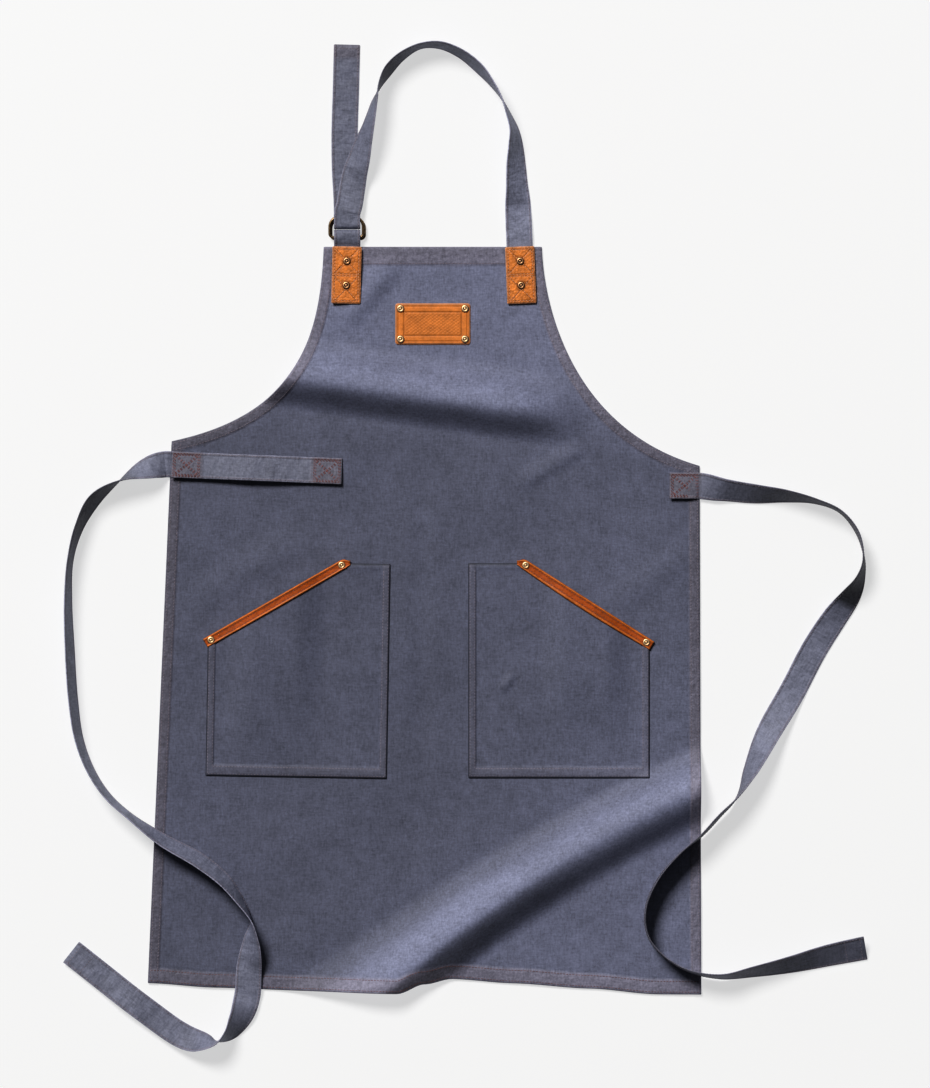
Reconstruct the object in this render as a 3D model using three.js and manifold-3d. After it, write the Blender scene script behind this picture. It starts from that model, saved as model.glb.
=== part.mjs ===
// A grill apron of canvas and leather, lying front up on a flat surface.
// Millimetres. +X is to the right of the apron as it is seen, +Y towards the neck, +Z up from the surface.
// The apron is worked out from its centre line and its lower edge, and the finished group is then moved
// so that the middle of the bottom of its bounding box is the origin.
import * as THREE from "three";
import Module from "manifold-3d";
import { mergeVertices } from "three/addons/utils/BufferGeometryUtils.js";

const wasm = await Module();
wasm.setup();

// Canvas body
const bodyLength = 906;
const bodyWidth = 675;
const bibWidth = 265;
const clothWall = 1.2;
const hemExtra = 1.2;
const sideHem = 12;
const lowerHem = 17;
const topHem = 21;
const hemStep = 2;
const lowerEdgeWave = 15;

// Folds of the canvas
const foldHeight = 24;
const foldReach = 52;

// Straps of doubled canvas
const strapWidth = 32;
const strapWall = 1.6;
const neckLoopHeight = 249;
const tailLength = 218;
const sewnLength = 36;

// Leather and rivets
const leatherWall = 1.8;
const tabWidth = 35;
const tabLength = 69;
const badgeWidth = 91;
const badgeHeight = 49.5;
const badgeBelowTop = 93.5;
const trimWidth = 12;
const trimPastOuter = 8;
const trimPastInner = 11;
const rivetHead = 9.4;
const rivetHeadHeight = 1.7;
const rivetShank = 3;
const rivetHole = 4.2;
const rivetCap = 8.4;

// Pockets and towel loop
const pocketWidth = 220;
const pocketHeight = 261;
const pocketSide = 165;
const pocketTop = 64;
const pocketGape = 6.2;
const loopLength = 207;
const loopGape = 6.6;

// Rings
const ringWidth = 44;
const ringHeight = 29;
const ringWire = 3.2;
const ringBarCorner = 5;
const ringArcCorner = 13;
const ringBarAbove = 11;
const ringShift = 0.9;

// Gap between two pieces that lie on each other
const seam = 0.3;

// Fineness of the faceted surfaces
const lowerRows = 17;
const middleRows = 4;
const armholeRows = 13;
const bodyColumns = 24;
const pocketRows = 7;
const mouthColumns = 12;
const tieSteps = 76;
const neckSteps = 74;
const turnSteps = 8;
const tailSteps = 8;
const ringSides = 8;
const rivetSides = 8;

// How far each side reaches from the centre line, how deep its armhole is, how far its lower corner drops,
// and the pull and turn of the armhole's curve at the bib and at the side.
const sides = {
  left: {
    sign: -1,
    chest: 318,
    hem: 347,
    armhole: 237,
    drop: -9,
    bibPull: 0.4,
    bibTurn: 2,
    sidePull: 0.5,
    sideTurn: 12,
  },
  right: {
    sign: 1,
    chest: 325,
    hem: 327,
    armhole: 267,
    drop: 5,
    bibPull: 0.24,
    bibTurn: 2,
    sidePull: 0.48,
    sideTurn: 16,
  },
};

// The lower edge from left to right: along is a share of its width, rise a share of lowerEdgeWave.
const lowerEdge = [
  { along: 0, rise: 0 },
  { along: 0.12, rise: -0.25 },
  { along: 0.28, rise: -0.35 },
  { along: 0.45, rise: -0.4 },
  { along: 0.5, rise: 0.4 },
  { along: 0.55, rise: 0.85 },
  { along: 0.66, rise: 0.6 },
  { along: 0.8, rise: 0.3 },
  { along: 0.92, rise: -0.05 },
  { along: 1, rise: 0 },
];

// The two main folds, each a ridge along a slightly bowed crest. Places across are shares of bodyWidth and
// places up are shares of bodyLength; bow, above and below are shares of foldReach, rise of foldHeight.
const folds = [
  {
    name: "chest",
    fromAcross: -0.3,
    fromUp: 0.829,
    toAcross: 0.29,
    toUp: 0.766,
    bow: 0,
    rise: 0.6,
    above: 1.05,
    below: 0.8,
    fade: 0.25,
  },
  {
    name: "lower",
    fromAcross: -0.068,
    fromUp: -0.013,
    toAcross: 0.53,
    toUp: 0.289,
    bow: 0.38,
    rise: 1,
    above: 1,
    below: 0.9,
    fade: 0,
  },
];

// Waist ties from the sewn end to the free end: across is a share of bodyWidth from the centre line, up a
// share of bodyLength from the lower edge, roll the turn of the strap about its own length in degrees.
const leftTieRoute = [
  { across: -0.511, up: 0.703, roll: 25 },
  { across: -0.562, up: 0.687, roll: 74 },
  { across: -0.609, up: 0.661, roll: 78 },
  { across: -0.638, up: 0.623, roll: 79 },
  { across: -0.654, up: 0.579, roll: 79 },
  { across: -0.658, up: 0.525, roll: 79 },
  { across: -0.655, up: 0.458, roll: 79 },
  { across: -0.649, up: 0.391, roll: 80 },
  { across: -0.638, up: 0.337, roll: 81 },
  { across: -0.616, up: 0.294, roll: 84 },
  { across: -0.585, up: 0.26, roll: 90 },
  { across: -0.544, up: 0.233, roll: 98 },
  { across: -0.488, up: 0.203, roll: 116 },
  { across: -0.421, up: 0.175, roll: 123 },
  { across: -0.377, up: 0.149, roll: 118 },
  { across: -0.348, up: 0.121, roll: 106 },
  { across: -0.328, up: 0.094, roll: 88 },
  { across: -0.327, up: 0.066, roll: 50 },
  { across: -0.332, up: 0.027, roll: 10 },
  { across: -0.335, up: -0.007, roll: 0 },
  { across: -0.347, up: -0.036, roll: -30 },
  { across: -0.368, up: -0.059, roll: -62 },
  { across: -0.392, up: -0.07, roll: -95 },
  { across: -0.421, up: -0.069, roll: -140 },
  { across: -0.453, up: -0.061, roll: -163 },
  { across: -0.531, up: -0.02, roll: -168 },
  { across: -0.653, up: 0.051, roll: -172 },
];
const rightTieRoute = [
  { across: 0.528, up: 0.673, roll: 32 },
  { across: 0.582, up: 0.668, roll: 44 },
  { across: 0.637, up: 0.665, roll: 62 },
  { across: 0.691, up: 0.658, roll: 80 },
  { across: 0.736, up: 0.644, roll: 86 },
  { across: 0.767, up: 0.615, roll: 86 },
  { across: 0.778, up: 0.579, roll: 96 },
  { across: 0.772, up: 0.555, roll: 112 },
  { across: 0.756, up: 0.532, roll: 138 },
  { across: 0.725, up: 0.5, roll: 165 },
  { across: 0.689, up: 0.458, roll: 178 },
  { across: 0.649, up: 0.401, roll: 182 },
  { across: 0.606, up: 0.346, roll: 205 },
  { across: 0.573, up: 0.294, roll: 240 },
  { across: 0.55, up: 0.26, roll: 270 },
  { across: 0.519, up: 0.236, roll: 277 },
  { across: 0.487, up: 0.21, roll: 276 },
  { across: 0.443, up: 0.182, roll: 272 },
  { across: 0.405, up: 0.148, roll: 270 },
  { across: 0.384, up: 0.109, roll: 270 },
  { across: 0.389, up: 0.073, roll: 269 },
  { across: 0.418, up: 0.046, roll: 267 },
  { across: 0.461, up: 0.027, roll: 264 },
  { across: 0.519, up: 0.019, roll: 258 },
  { across: 0.584, up: 0.026, roll: 243 },
  { across: 0.646, up: 0.035, roll: 228 },
  { across: 0.714, up: 0.047, roll: 212 },
  { across: 0.781, up: 0.057, roll: 204 },
];

// Neck strap from the right tab over the neck to the rings: across is a share of bibWidth from the centre
// line, up a share of neckLoopHeight above the bib, over a share of its height above the ground at the rings.
const neckRoute = [
  { across: 0.392, up: 0.208, roll: 14, over: 0 },
  { across: 0.388, up: 0.291, roll: 32, over: 0 },
  { across: 0.383, up: 0.404, roll: 43, over: 0 },
  { across: 0.381, up: 0.502, roll: 57, over: 0 },
  { across: 0.374, up: 0.575, roll: 70, over: 0 },
  { across: 0.349, up: 0.649, roll: 80, over: 0 },
  { across: 0.317, up: 0.727, roll: 90, over: 0 },
  { across: 0.275, up: 0.796, roll: 99, over: 0 },
  { across: 0.213, up: 0.874, roll: 109, over: 0 },
  { across: 0.13, up: 0.945, roll: 107, over: 0 },
  { across: 0.033, up: 0.987, roll: 103, over: 0 },
  { across: -0.059, up: 0.982, roll: 99, over: 0 },
  { across: -0.146, up: 0.93, roll: 106, over: 0 },
  { across: -0.204, up: 0.864, roll: 109, over: 0 },
  { across: -0.243, up: 0.791, roll: 96, over: 0.1 },
  { across: -0.266, up: 0.717, roll: 79, over: 0.26 },
  { across: -0.282, up: 0.649, roll: 70, over: 0.28 },
  { across: -0.3, up: 0.575, roll: 60, over: 0.28 },
  { across: -0.321, up: 0.502, roll: 45, over: 0.28 },
  { across: -0.34, up: 0.428, roll: 30, over: 0.28 },
  { across: -0.36, up: 0.355, roll: 14, over: 0.3 },
  { across: -0.372, up: 0.281, roll: 3, over: 0.52 },
  { across: -0.383, up: 0.208, roll: 0, over: 0.86 },
];

// The free tail from the rings to its end: along is a share of tailLength.
const tailRoute = [
  { across: -0.397, along: 0.15 },
  { across: -0.404, along: 0.3 },
  { across: -0.406, along: 0.5 },
  { across: -0.4, along: 0.75 },
  { across: -0.395, along: 1 },
];

const materials = {
  canvas: new THREE.MeshStandardMaterial({ color: 0x50526a, roughness: 0.9, metalness: 0 }),
  leather: new THREE.MeshStandardMaterial({ color: 0xb4622c, roughness: 0.6, metalness: 0 }),
  brass: new THREE.MeshStandardMaterial({ color: 0xb08a52, roughness: 0.35, metalness: 1 }),
};
const apron = new THREE.Group();
const rad = THREE.MathUtils.degToRad;
const lerp = THREE.MathUtils.lerp;
const clamp = THREE.MathUtils.clamp;
const smooth = (x) => THREE.MathUtils.smoothstep(x, 0, 1);

// Heights of what lies flat, from the surface up
const clothTop = hemExtra + clothWall;
const onCloth = clothTop + seam;
const strapStep = strapWall + seam;

function addPiece(name, material, geometry) {
  const mesh = new THREE.Mesh(geometry, material);
  mesh.name = name;
  apron.add(mesh);
}

// A closed wall from two grids of points of the same size, one over the other.
function wall(top, bottom) {
  const rows = top.length;
  const columns = top[0].length;
  const points = [...top.flat(), ...bottom.flat()];
  const at = (layer, row, column) => layer * rows * columns + row * columns + column;
  const faces = [];
  const quad = (a, b, c, d) => faces.push(a, b, c, a, c, d);
  for (let r = 0; r < rows - 1; r++) {
    for (let c = 0; c < columns - 1; c++) {
      quad(at(0, r, c), at(0, r, c + 1), at(0, r + 1, c + 1), at(0, r + 1, c));
      quad(at(1, r, c), at(1, r + 1, c), at(1, r + 1, c + 1), at(1, r, c + 1));
    }
  }
  for (let c = 0; c < columns - 1; c++) {
    quad(at(1, 0, c), at(1, 0, c + 1), at(0, 0, c + 1), at(0, 0, c));
    quad(at(1, rows - 1, c + 1), at(1, rows - 1, c), at(0, rows - 1, c), at(0, rows - 1, c + 1));
  }
  for (let r = 0; r < rows - 1; r++) {
    quad(at(1, r + 1, 0), at(1, r, 0), at(0, r, 0), at(0, r + 1, 0));
    quad(at(1, r, columns - 1), at(1, r + 1, columns - 1), at(0, r + 1, columns - 1), at(0, r, columns - 1));
  }
  const geometry = new THREE.BufferGeometry().setFromPoints(points);
  geometry.setIndex(faces);
  return geometry;
}

function toSolid(geometry) {
  const bare = geometry.clone();
  bare.deleteAttribute("normal");
  bare.deleteAttribute("uv");
  const merged = mergeVertices(bare, 1e-4);
  const solid = new wasm.Manifold(
    new wasm.Mesh({
      numProp: 3,
      vertProperties: new Float32Array(merged.attributes.position.array),
      triVerts: new Uint32Array(merged.index.array),
    }),
  );
  return solid;
}

function toGeometry(solid) {
  const mesh = solid.getMesh();
  const geometry = new THREE.BufferGeometry();
  geometry.setAttribute("position", new THREE.BufferAttribute(new Float32Array(mesh.vertProperties), 3));
  geometry.setIndex([...mesh.triVerts]);
  return geometry;
}

// Cuts a round hole for each rivet shank that passes through the piece, and a seat for each cap under a hem.
function withHoles(geometry, rivets, seats = []) {
  const cut = (solid, { x, y }, diameter, from, to) => {
    const cutter = new THREE.CylinderGeometry(diameter / 2, diameter / 2, to - from, rivetSides);
    cutter.rotateX(Math.PI / 2).translate(x, y, (from + to) / 2);
    return solid.subtract(toSolid(cutter));
  };
  const holed = rivets.reduce((solid, place) => cut(solid, place, rivetHole, -10, 30), toSolid(geometry));
  const seated = seats.reduce((solid, place) => cut(solid, place, rivetCap + 3 * seam, -10, hemExtra), holed);
  return toGeometry(seated);
}

// Outline of the body: one side from its lower corner (0) to its chest corner (1) and along the armhole to
// the corner of the bib (2).
const lowerCorner = (side) => new THREE.Vector2(side.sign * side.hem, -side.drop);
const chestCorner = (side) => new THREE.Vector2(side.sign * side.chest, bodyLength - side.armhole);
const bibCorner = (side) => new THREE.Vector2((side.sign * bibWidth) / 2, bodyLength);
function armholeCurve(side) {
  const from = chestCorner(side);
  const to = bibCorner(side);
  const chord = from.distanceTo(to);
  const sideTurn = rad(side.sideTurn);
  const bibTurn = rad(side.bibTurn);
  const sidePull = new THREE.Vector2(-side.sign * Math.cos(sideTurn), Math.sin(sideTurn));
  const bibPull = new THREE.Vector2(side.sign * Math.sin(bibTurn), -Math.cos(bibTurn));
  return new THREE.CubicBezierCurve(
    from,
    from.clone().addScaledVector(sidePull, side.sidePull * chord),
    to.clone().addScaledVector(bibPull, side.bibPull * chord),
    to,
  );
}
const armholes = { left: armholeCurve(sides.left), right: armholeCurve(sides.right) };
function sidePoint(name, place) {
  if (place <= 1) return lowerCorner(sides[name]).lerp(chestCorner(sides[name]), place);
  return armholes[name].getPoint(clamp(place - 1, 0, 1));
}

// How far the lower edge stands above the straight line between its corners.
function lowerRise(along) {
  const next = Math.max(1, lowerEdge.findIndex((row) => row.along >= along));
  const before = lowerEdge[next - 1];
  const after = lowerEdge[next];
  const share = smooth((along - before.along) / (after.along - before.along));
  return lowerEdgeWave * lerp(before.rise, after.rise, share);
}

// A place on the flat body: along is 0 at the left and 1 at the right, place as in sidePoint.
function bodyPoint(along, place) {
  const point = sidePoint("left", place).lerp(sidePoint("right", place), along);
  point.y += lowerRise(along) * (1 - clamp(place, 0, 1));
  return point;
}

// Height of one fold: a ridge that falls in half cosine waves to both sides of its crest.
function foldAt(fold, x, y) {
  const from = new THREE.Vector2(fold.fromAcross * bodyWidth, fold.fromUp * bodyLength);
  const to = new THREE.Vector2(fold.toAcross * bodyWidth, fold.toUp * bodyLength);
  const line = to.clone().sub(from);
  const length = line.length();
  line.normalize();
  const offset = new THREE.Vector2(x, y).sub(from);
  const share = offset.dot(line) / length;
  const inside = clamp(share, 0, 1);
  const away = offset.cross(line) * -1 - fold.bow * foldReach * 4 * inside * (1 - inside);
  const reach = foldReach * (away > 0 ? fold.above : fold.below);
  if (Math.abs(away) >= reach) return 0;
  const fading = fold.fade ? smooth((1 - share) / fold.fade) : 1;
  return (fold.rise * foldHeight * fading * (1 + Math.cos((Math.PI * away) / reach))) / 2;
}
const foldHeightAt = (x, y) => folds.reduce((sum, fold) => sum + foldAt(fold, x, y), 0);

// How far a place lies outside the body's outline, less than 0 inside.
const outlineSteps = 24;
const outline = ["left", "right"].map((name) =>
  Array.from({ length: 2 * outlineSteps + 1 }, (_, i) => sidePoint(name, i / outlineSteps)),
);
function reachAt(points, y) {
  const next = clamp(points.findIndex((p) => p.y > y), 1, points.length - 1);
  const [a, b] = [points[next - 1], points[next]];
  return lerp(a.x, b.x, clamp((y - a.y) / (b.y - a.y || 1), 0, 1));
}
function outside(x, y) {
  const left = reachAt(outline[0], y);
  const right = reachAt(outline[1], y);
  const along = clamp((x - left) / (right - left), 0, 1);
  const bottom = bodyPoint(along, 0).y;
  return Math.max(left - x, x - right, bottom - y, y - bodyLength);
}

// Places of everything that is sewn or riveted to the body
const badgeCentre = { x: 0, y: bodyLength - badgeBelowTop };
const badgeRivetInset = 6.2;
const badgeRivetX = badgeWidth / 2 - badgeRivetInset;
const badgeRivetY = badgeHeight / 2 - badgeRivetInset;
const badgeRivets = {
  left_top: { x: -badgeRivetX, y: badgeCentre.y + badgeRivetY },
  left_low: { x: -badgeRivetX, y: badgeCentre.y - badgeRivetY },
  right_top: { x: badgeRivetX, y: badgeCentre.y + badgeRivetY },
  right_low: { x: badgeRivetX, y: badgeCentre.y - badgeRivetY },
};

// Tabs: how far from the centre line as a share of bibWidth, the turn in degrees, the straps under each
const tabOverhang = 0.5;
const tabs = {
  left: { x: -0.394 * bibWidth, turn: -1.3, layers: 2 },
  right: { x: 0.4 * bibWidth, turn: 2.2, layers: 1 },
};
const tabRivetFromTop = 17.5;
const tabRivetSpacing = 29.5;
function tabPlace(tab, across, down) {
  const turn = rad(tab.turn);
  return {
    x: tab.x + across * Math.cos(turn) + down * Math.sin(turn),
    y: bodyLength + tabOverhang + across * Math.sin(turn) - down * Math.cos(turn),
  };
}
const tabRivets = {};
for (const side of ["left", "right"]) {
  tabRivets[side + "_top"] = tabPlace(tabs[side], 0, tabRivetFromTop);
  tabRivets[side + "_low"] = tabPlace(tabs[side], 0, tabRivetFromTop + tabRivetSpacing);
}

// Pockets: the inner lower corner as shares of bodyWidth from the centre line and of bodyLength from the
// lower edge, the turn of the whole pocket in degrees, and the inner rivet's distance as a share of pocketTop
const pockets = {
  left: { sign: -1, across: 0.084, up: 0.285, turn: -1, top: 0.92 },
  right: { sign: 1, across: 0.065, up: 0.286, turn: 0, top: 1.085 },
};
const pocketRivetInset = 3.4;
const rivetBelowTop = 2;
const edgeOverRivets = 5;
const peakWidth = 4;

// A place on a pocket: across from its inner edge, up from its lower edge.
function pocketPlace(pocket, across, up) {
  const turn = rad(pocket.turn);
  const x = pocket.sign * across;
  return {
    x: pocket.sign * pocket.across * bodyWidth + x * Math.cos(turn) - up * Math.sin(turn),
    y: pocket.up * bodyLength + x * Math.sin(turn) + up * Math.cos(turn),
  };
}

// The slanted mouth: its trim's middle line runs from the outer rivet to the inner one.
const mouthOut = pocketWidth - pocketRivetInset;
const mouthIn = (pocket) => pocketTop * pocket.top;
const mouthShare = (pocket, across) => (mouthOut - across) / (mouthOut - mouthIn(pocket));
const mouthLine = (pocket, across) =>
  lerp(pocketSide, pocketHeight - rivetBelowTop, mouthShare(pocket, across));
const mouthSlope = (pocket) => (pocketHeight - rivetBelowTop - pocketSide) / (mouthOut - mouthIn(pocket));

// The canvas reaches a little above the rivets, to a small peak under the trim's inner end.
function pocketEdge(pocket, across) {
  if (across < mouthIn(pocket) - peakWidth) return pocketHeight;
  return mouthLine(pocket, across) + edgeOverRivets;
}

// How far the pocket gapes: full near the middle of the mouth, nothing along the sewn edges and at its rivets
const mouthRest = 0.1;
const mouthSlack = 0.32;
const gapeDepth = 0.75;
function pocketGapeAt(pocket, across, up) {
  const place = clamp((mouthShare(pocket, across) - mouthRest) / (1 - 2 * mouthRest), 0, 1);
  const along = smooth(place / mouthSlack) * smooth((1 - place) / mouthSlack);
  return pocketGape * along * smooth(up / (mouthLine(pocket, across) * gapeDepth));
}
const pocketRivets = {};
for (const [side, pocket] of Object.entries(pockets)) {
  for (const [end, across] of Object.entries({ out: mouthOut, in: mouthIn(pocket) })) {
    pocketRivets[side + "_" + end] = pocketPlace(pocket, across, mouthLine(pocket, across));
  }
}

// Body
const allRivets = [badgeRivets, tabRivets, pocketRivets].flatMap((group) => Object.values(group));
const spread = (count) => Array.from({ length: count }, (_, i) => (i + 1) / (count + 1));
function bodyRows() {
  const length = bodyLength - (sides.left.armhole + sides.right.armhole) / 2;
  const hem = lowerHem / length;
  const step = hemStep / length;
  const folded = 0.5;
  const top = topHem / armholes.right.getLength();
  return [
    { place: 0, hem: true },
    { place: hem, hem: true },
    { place: hem + step },
    ...spread(lowerRows).map((s) => ({ place: lerp(hem + step, folded, s) })),
    ...spread(middleRows).map((s) => ({ place: lerp(folded, 1, s) })),
    { place: 1 },
    ...spread(armholeRows).map((s) => ({ place: 1 + s * (1 - top) })),
    { place: 2 - top, hem: true },
    { place: 2, hem: true },
  ];
}
function bodyColumnsAt(width) {
  const hem = sideHem / width;
  const step = hemStep / width;
  return [
    { along: 0, hem: true },
    { along: hem, hem: true },
    { along: hem + step },
    ...spread(bodyColumns).map((s) => ({ along: lerp(hem + step, 1 - hem - step, s) })),
    { along: 1 - hem - step },
    { along: 1 - hem, hem: true },
    { along: 1, hem: true },
  ];
}
const bodyTop = [];
function apronBody() {
  const bottom = [];
  for (const row of bodyRows()) {
    const width = sidePoint("left", row.place).distanceTo(sidePoint("right", row.place));
    const topRow = [];
    const bottomRow = [];
    for (const column of bodyColumnsAt(width)) {
      const { x, y } = bodyPoint(column.along, row.place);
      const fold = foldHeightAt(x, y);
      topRow.push(new THREE.Vector3(x, y, fold + clothTop));
      bottomRow.push(new THREE.Vector3(x, y, fold + (row.hem || column.hem ? 0 : hemExtra)));
    }
    bodyTop.push(topRow);
    bottom.push(bottomRow);
  }
  return withHoles(wall(bodyTop, bottom), allRivets, [tabRivets.left_top, tabRivets.right_top]);
}
addPiece("apron_body", materials.canvas, apronBody());

// Height of the body's faceted front at a place, or of the unfolded canvas outside its outline.
const weights = new THREE.Vector3();
function clothAt(x, y) {
  const place = new THREE.Vector3(x, y, 0);
  for (let r = 0; r < bodyTop.length - 1; r++) {
    for (let c = 0; c < bodyTop[r].length - 1; c++) {
      const corner = [bodyTop[r][c], bodyTop[r][c + 1], bodyTop[r + 1][c + 1], bodyTop[r + 1][c]];
      for (const facet of [corner.slice(0, 3), [corner[0], corner[2], corner[3]]]) {
        const flat = facet.map((p) => new THREE.Vector3(p.x, p.y, 0));
        THREE.Triangle.getBarycoord(place, ...flat, weights);
        if (Math.min(weights.x, weights.y, weights.z) >= 0) {
          return weights.x * facet[0].z + weights.y * facet[1].z + weights.z * facet[2].z;
        }
      }
    }
  }
  return clothTop;
}

// Height of the ground that a strap lies on: the front of the body, ramped down to the surface beside it.
function groundAt(x, y) {
  const start = strapWidth / 2 + 4;
  const ramp = 1 - smooth((outside(x, y) - start) / strapWidth);
  return ramp > 0 ? ramp * (clothAt(x, y) + seam) : 0;
}

// A pocket and its trim share the columns between the rivets, so the trim lies evenly on the pocket.
function pocketPoint(pocket, across, up) {
  const { x, y } = pocketPlace(pocket, across, up);
  return new THREE.Vector3(x, y, clothAt(x, y) + seam + pocketGapeAt(pocket, across, up));
}
function mouthColumnsOf(pocket) {
  const shares = Array.from({ length: mouthColumns }, (_, i) => i / (mouthColumns - 1));
  return shares.map((share) => lerp(mouthOut, mouthIn(pocket), share));
}
const halfTrim = (pocket) => (trimWidth / 2) * Math.hypot(1, mouthSlope(pocket));
function pocketPanel(pocket) {
  const peak = mouthIn(pocket) - peakWidth;
  const columns = [pocketWidth, ...mouthColumnsOf(pocket), peak, peak - peakWidth, 0];
  const shares = [...spread(pocketRows - 2), 1];
  const belowTrim = (across) => mouthLine(pocket, Math.max(across, peak)) - halfTrim(pocket);
  const row = (share) => columns.map((a) => pocketPoint(pocket, a, share * belowTrim(a)));
  return [...[0, ...shares].map(row), columns.map((a) => pocketPoint(pocket, a, pocketEdge(pocket, a)))];
}
function pocketTrim(pocket) {
  const slope = Math.atan(mouthSlope(pocket));
  const half = trimWidth / 2;
  const squareEnd = (across, past, side) =>
    pocketPoint(
      pocket,
      across - past * Math.cos(slope) + side * half * Math.sin(slope),
      mouthLine(pocket, across) + past * Math.sin(slope) + side * half * Math.cos(slope),
    );
  const between = mouthColumnsOf(pocket);
  return [-1, 1].map((side) => [
    squareEnd(mouthOut, -trimPastOuter, side),
    ...between.map((a) => pocketPoint(pocket, a, mouthLine(pocket, a) + side * halfTrim(pocket))),
    squareEnd(mouthIn(pocket), trimPastInner, side),
  ]);
}
const raised = (grid, by) => grid.map((row) => row.map((p) => p.clone().setZ(p.z + by)));
// The right pocket's grid runs the same way round as the left one once its columns are reversed.
const facingUp = (grid, pocket) => (pocket.sign > 0 ? grid.map((row) => row.toReversed()) : grid);
for (const [side, pocket] of Object.entries(pockets)) {
  const rivets = Object.values(pocketRivets);
  const panel = facingUp(pocketPanel(pocket), pocket);
  const trim = raised(facingUp(pocketTrim(pocket), pocket), clothWall + seam);
  const holed = (foot, thickness) => withHoles(wall(raised(foot, thickness), foot), rivets);
  addPiece("pocket_" + side, materials.canvas, holed(panel, clothWall));
  addPiece("pocket_trim_" + side, materials.leather, holed(trim, leatherWall));
}

// A flat plate with rounded corners, its foot at the given height.
function plate(width, height, radius, thickness, foot) {
  const shape = new THREE.Shape();
  const [w, h] = [width / 2 - radius, height / 2 - radius];
  shape.absarc(w, h, radius, 0, Math.PI / 2);
  shape.absarc(-w, h, radius, Math.PI / 2, Math.PI);
  shape.absarc(-w, -h, radius, Math.PI, 1.5 * Math.PI);
  shape.absarc(w, -h, radius, 1.5 * Math.PI, 2 * Math.PI);
  const options = { depth: thickness, bevelEnabled: false, curveSegments: 2 };
  return new THREE.ExtrudeGeometry(shape, options).translate(0, 0, foot);
}
const badgeCorner = 3;
const badge = plate(badgeWidth, badgeHeight, badgeCorner, leatherWall, onCloth);
badge.translate(badgeCentre.x, badgeCentre.y, 0);
addPiece("badge", materials.leather, withHoles(badge, Object.values(badgeRivets)));

const tabCorner = 1.5;
const tabFoot = (tab) => onCloth + tab.layers * strapStep;
for (const [side, tab] of Object.entries(tabs)) {
  const centre = tabPlace(tab, 0, tabLength / 2);
  const geometry = plate(tabWidth, tabLength, tabCorner, leatherWall, tabFoot(tab));
  geometry.rotateZ(rad(tab.turn)).translate(centre.x, centre.y, 0);
  addPiece("strap_tab_" + side, materials.leather, withHoles(geometry, Object.values(tabRivets)));
}

// A rivet with a domed head, a shank through its hole and a flat cap under the canvas.
function rivet(headFoot) {
  const profile = [
    [0, headFoot + rivetHeadHeight],
    [rivetHead * 0.3, headFoot + rivetHeadHeight],
    [rivetHead / 2, headFoot + rivetHeadHeight * 0.45],
    [rivetHead / 2, headFoot],
    [rivetShank / 2, headFoot],
    [rivetShank / 2, hemExtra - seam],
    [rivetCap / 2, hemExtra - seam],
    [rivetCap / 2, 0],
    [0, 0],
  ];
  const points = profile.map(([r, z]) => new THREE.Vector2(r, z)).reverse();
  return new THREE.LatheGeometry(points, rivetSides).rotateX(Math.PI / 2);
}
function addRivet(name, place, headFoot) {
  addPiece(name, materials.brass, rivet(headFoot).translate(place.x, place.y, 0));
}
const badgeTop = onCloth + leatherWall + seam;
for (const [end, place] of Object.entries(badgeRivets)) {
  addRivet("badge_rivet_" + end, place, badgeTop);
}
for (const [end, place] of Object.entries(tabRivets)) {
  addRivet("tab_rivet_" + end, place, tabFoot(tabs[end.split("_")[0]]) + leatherWall + seam);
}
const trimTop = onCloth + clothWall + seam + leatherWall + seam;
for (const [end, place] of Object.entries(pocketRivets)) {
  addRivet("pocket_rivet_" + end, place, trimTop);
}

// A strap along samples, each a point of its middle and a roll. The side vector keeps its sense round a turn.
function strap(samples) {
  const top = [];
  const bottom = [];
  let side = null;
  samples.forEach(({ point, roll }, i) => {
    const before = samples[Math.max(0, i - 1)].point;
    const after = samples[Math.min(samples.length - 1, i + 1)].point;
    const ahead = after.clone().sub(before).normalize();
    const level = new THREE.Vector3(-ahead.y, ahead.x, 0);
    if (level.length() > 0.5) {
      if (side && side.dot(level) < 0) level.negate();
      side = level.normalize();
    }
    const up = side.clone().cross(ahead).negate();
    const turn = rad(roll);
    const across = side.clone().multiplyScalar(Math.cos(turn)).addScaledVector(up, Math.sin(turn));
    const normal = up.clone().multiplyScalar(Math.cos(turn)).addScaledVector(side, -Math.sin(turn));
    const place = (w, n) => {
      const reached = point.clone().addScaledVector(across, (w * strapWidth) / 2);
      return reached.addScaledVector(normal, (n * strapWall) / 2);
    };
    top.push([place(1, 1), place(-1, 1)]);
    bottom.push([place(1, -1), place(-1, -1)]);
  });
  return wall(top, bottom);
}

// Samples of a strap that lies on the ground: a smooth curve through its rows, raised as its roll needs.
function lying(rows, steps, rise = () => 0) {
  const places = rows.map((row) => new THREE.Vector3(row.x, row.y, 0));
  const path = new THREE.CatmullRomCurve3(places, false, "centripetal");
  const rolls = new THREE.SplineCurve(rows.map((row, i) => new THREE.Vector2(i, row.roll)));
  const extras = new THREE.SplineCurve(rows.map((row, i) => new THREE.Vector2(i, row.over ?? 0)));
  return Array.from({ length: steps + 1 }, (_, i) => {
    const share = i / steps;
    const point = path.getPoint(share);
    const roll = rolls.getPoint(share).y;
    const onEdge = Math.abs(Math.sin(rad(roll))) * strapWidth;
    const onFlat = Math.abs(Math.cos(rad(roll))) * strapWall;
    point.z = groundAt(point.x, point.y) + (onEdge + onFlat) / 2 + rise(extras.getPoint(share).y);
    return { point, roll };
  });
}
const tieRow = (row) => ({ x: row.across * bodyWidth, y: row.up * bodyLength, roll: row.roll });

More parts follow.
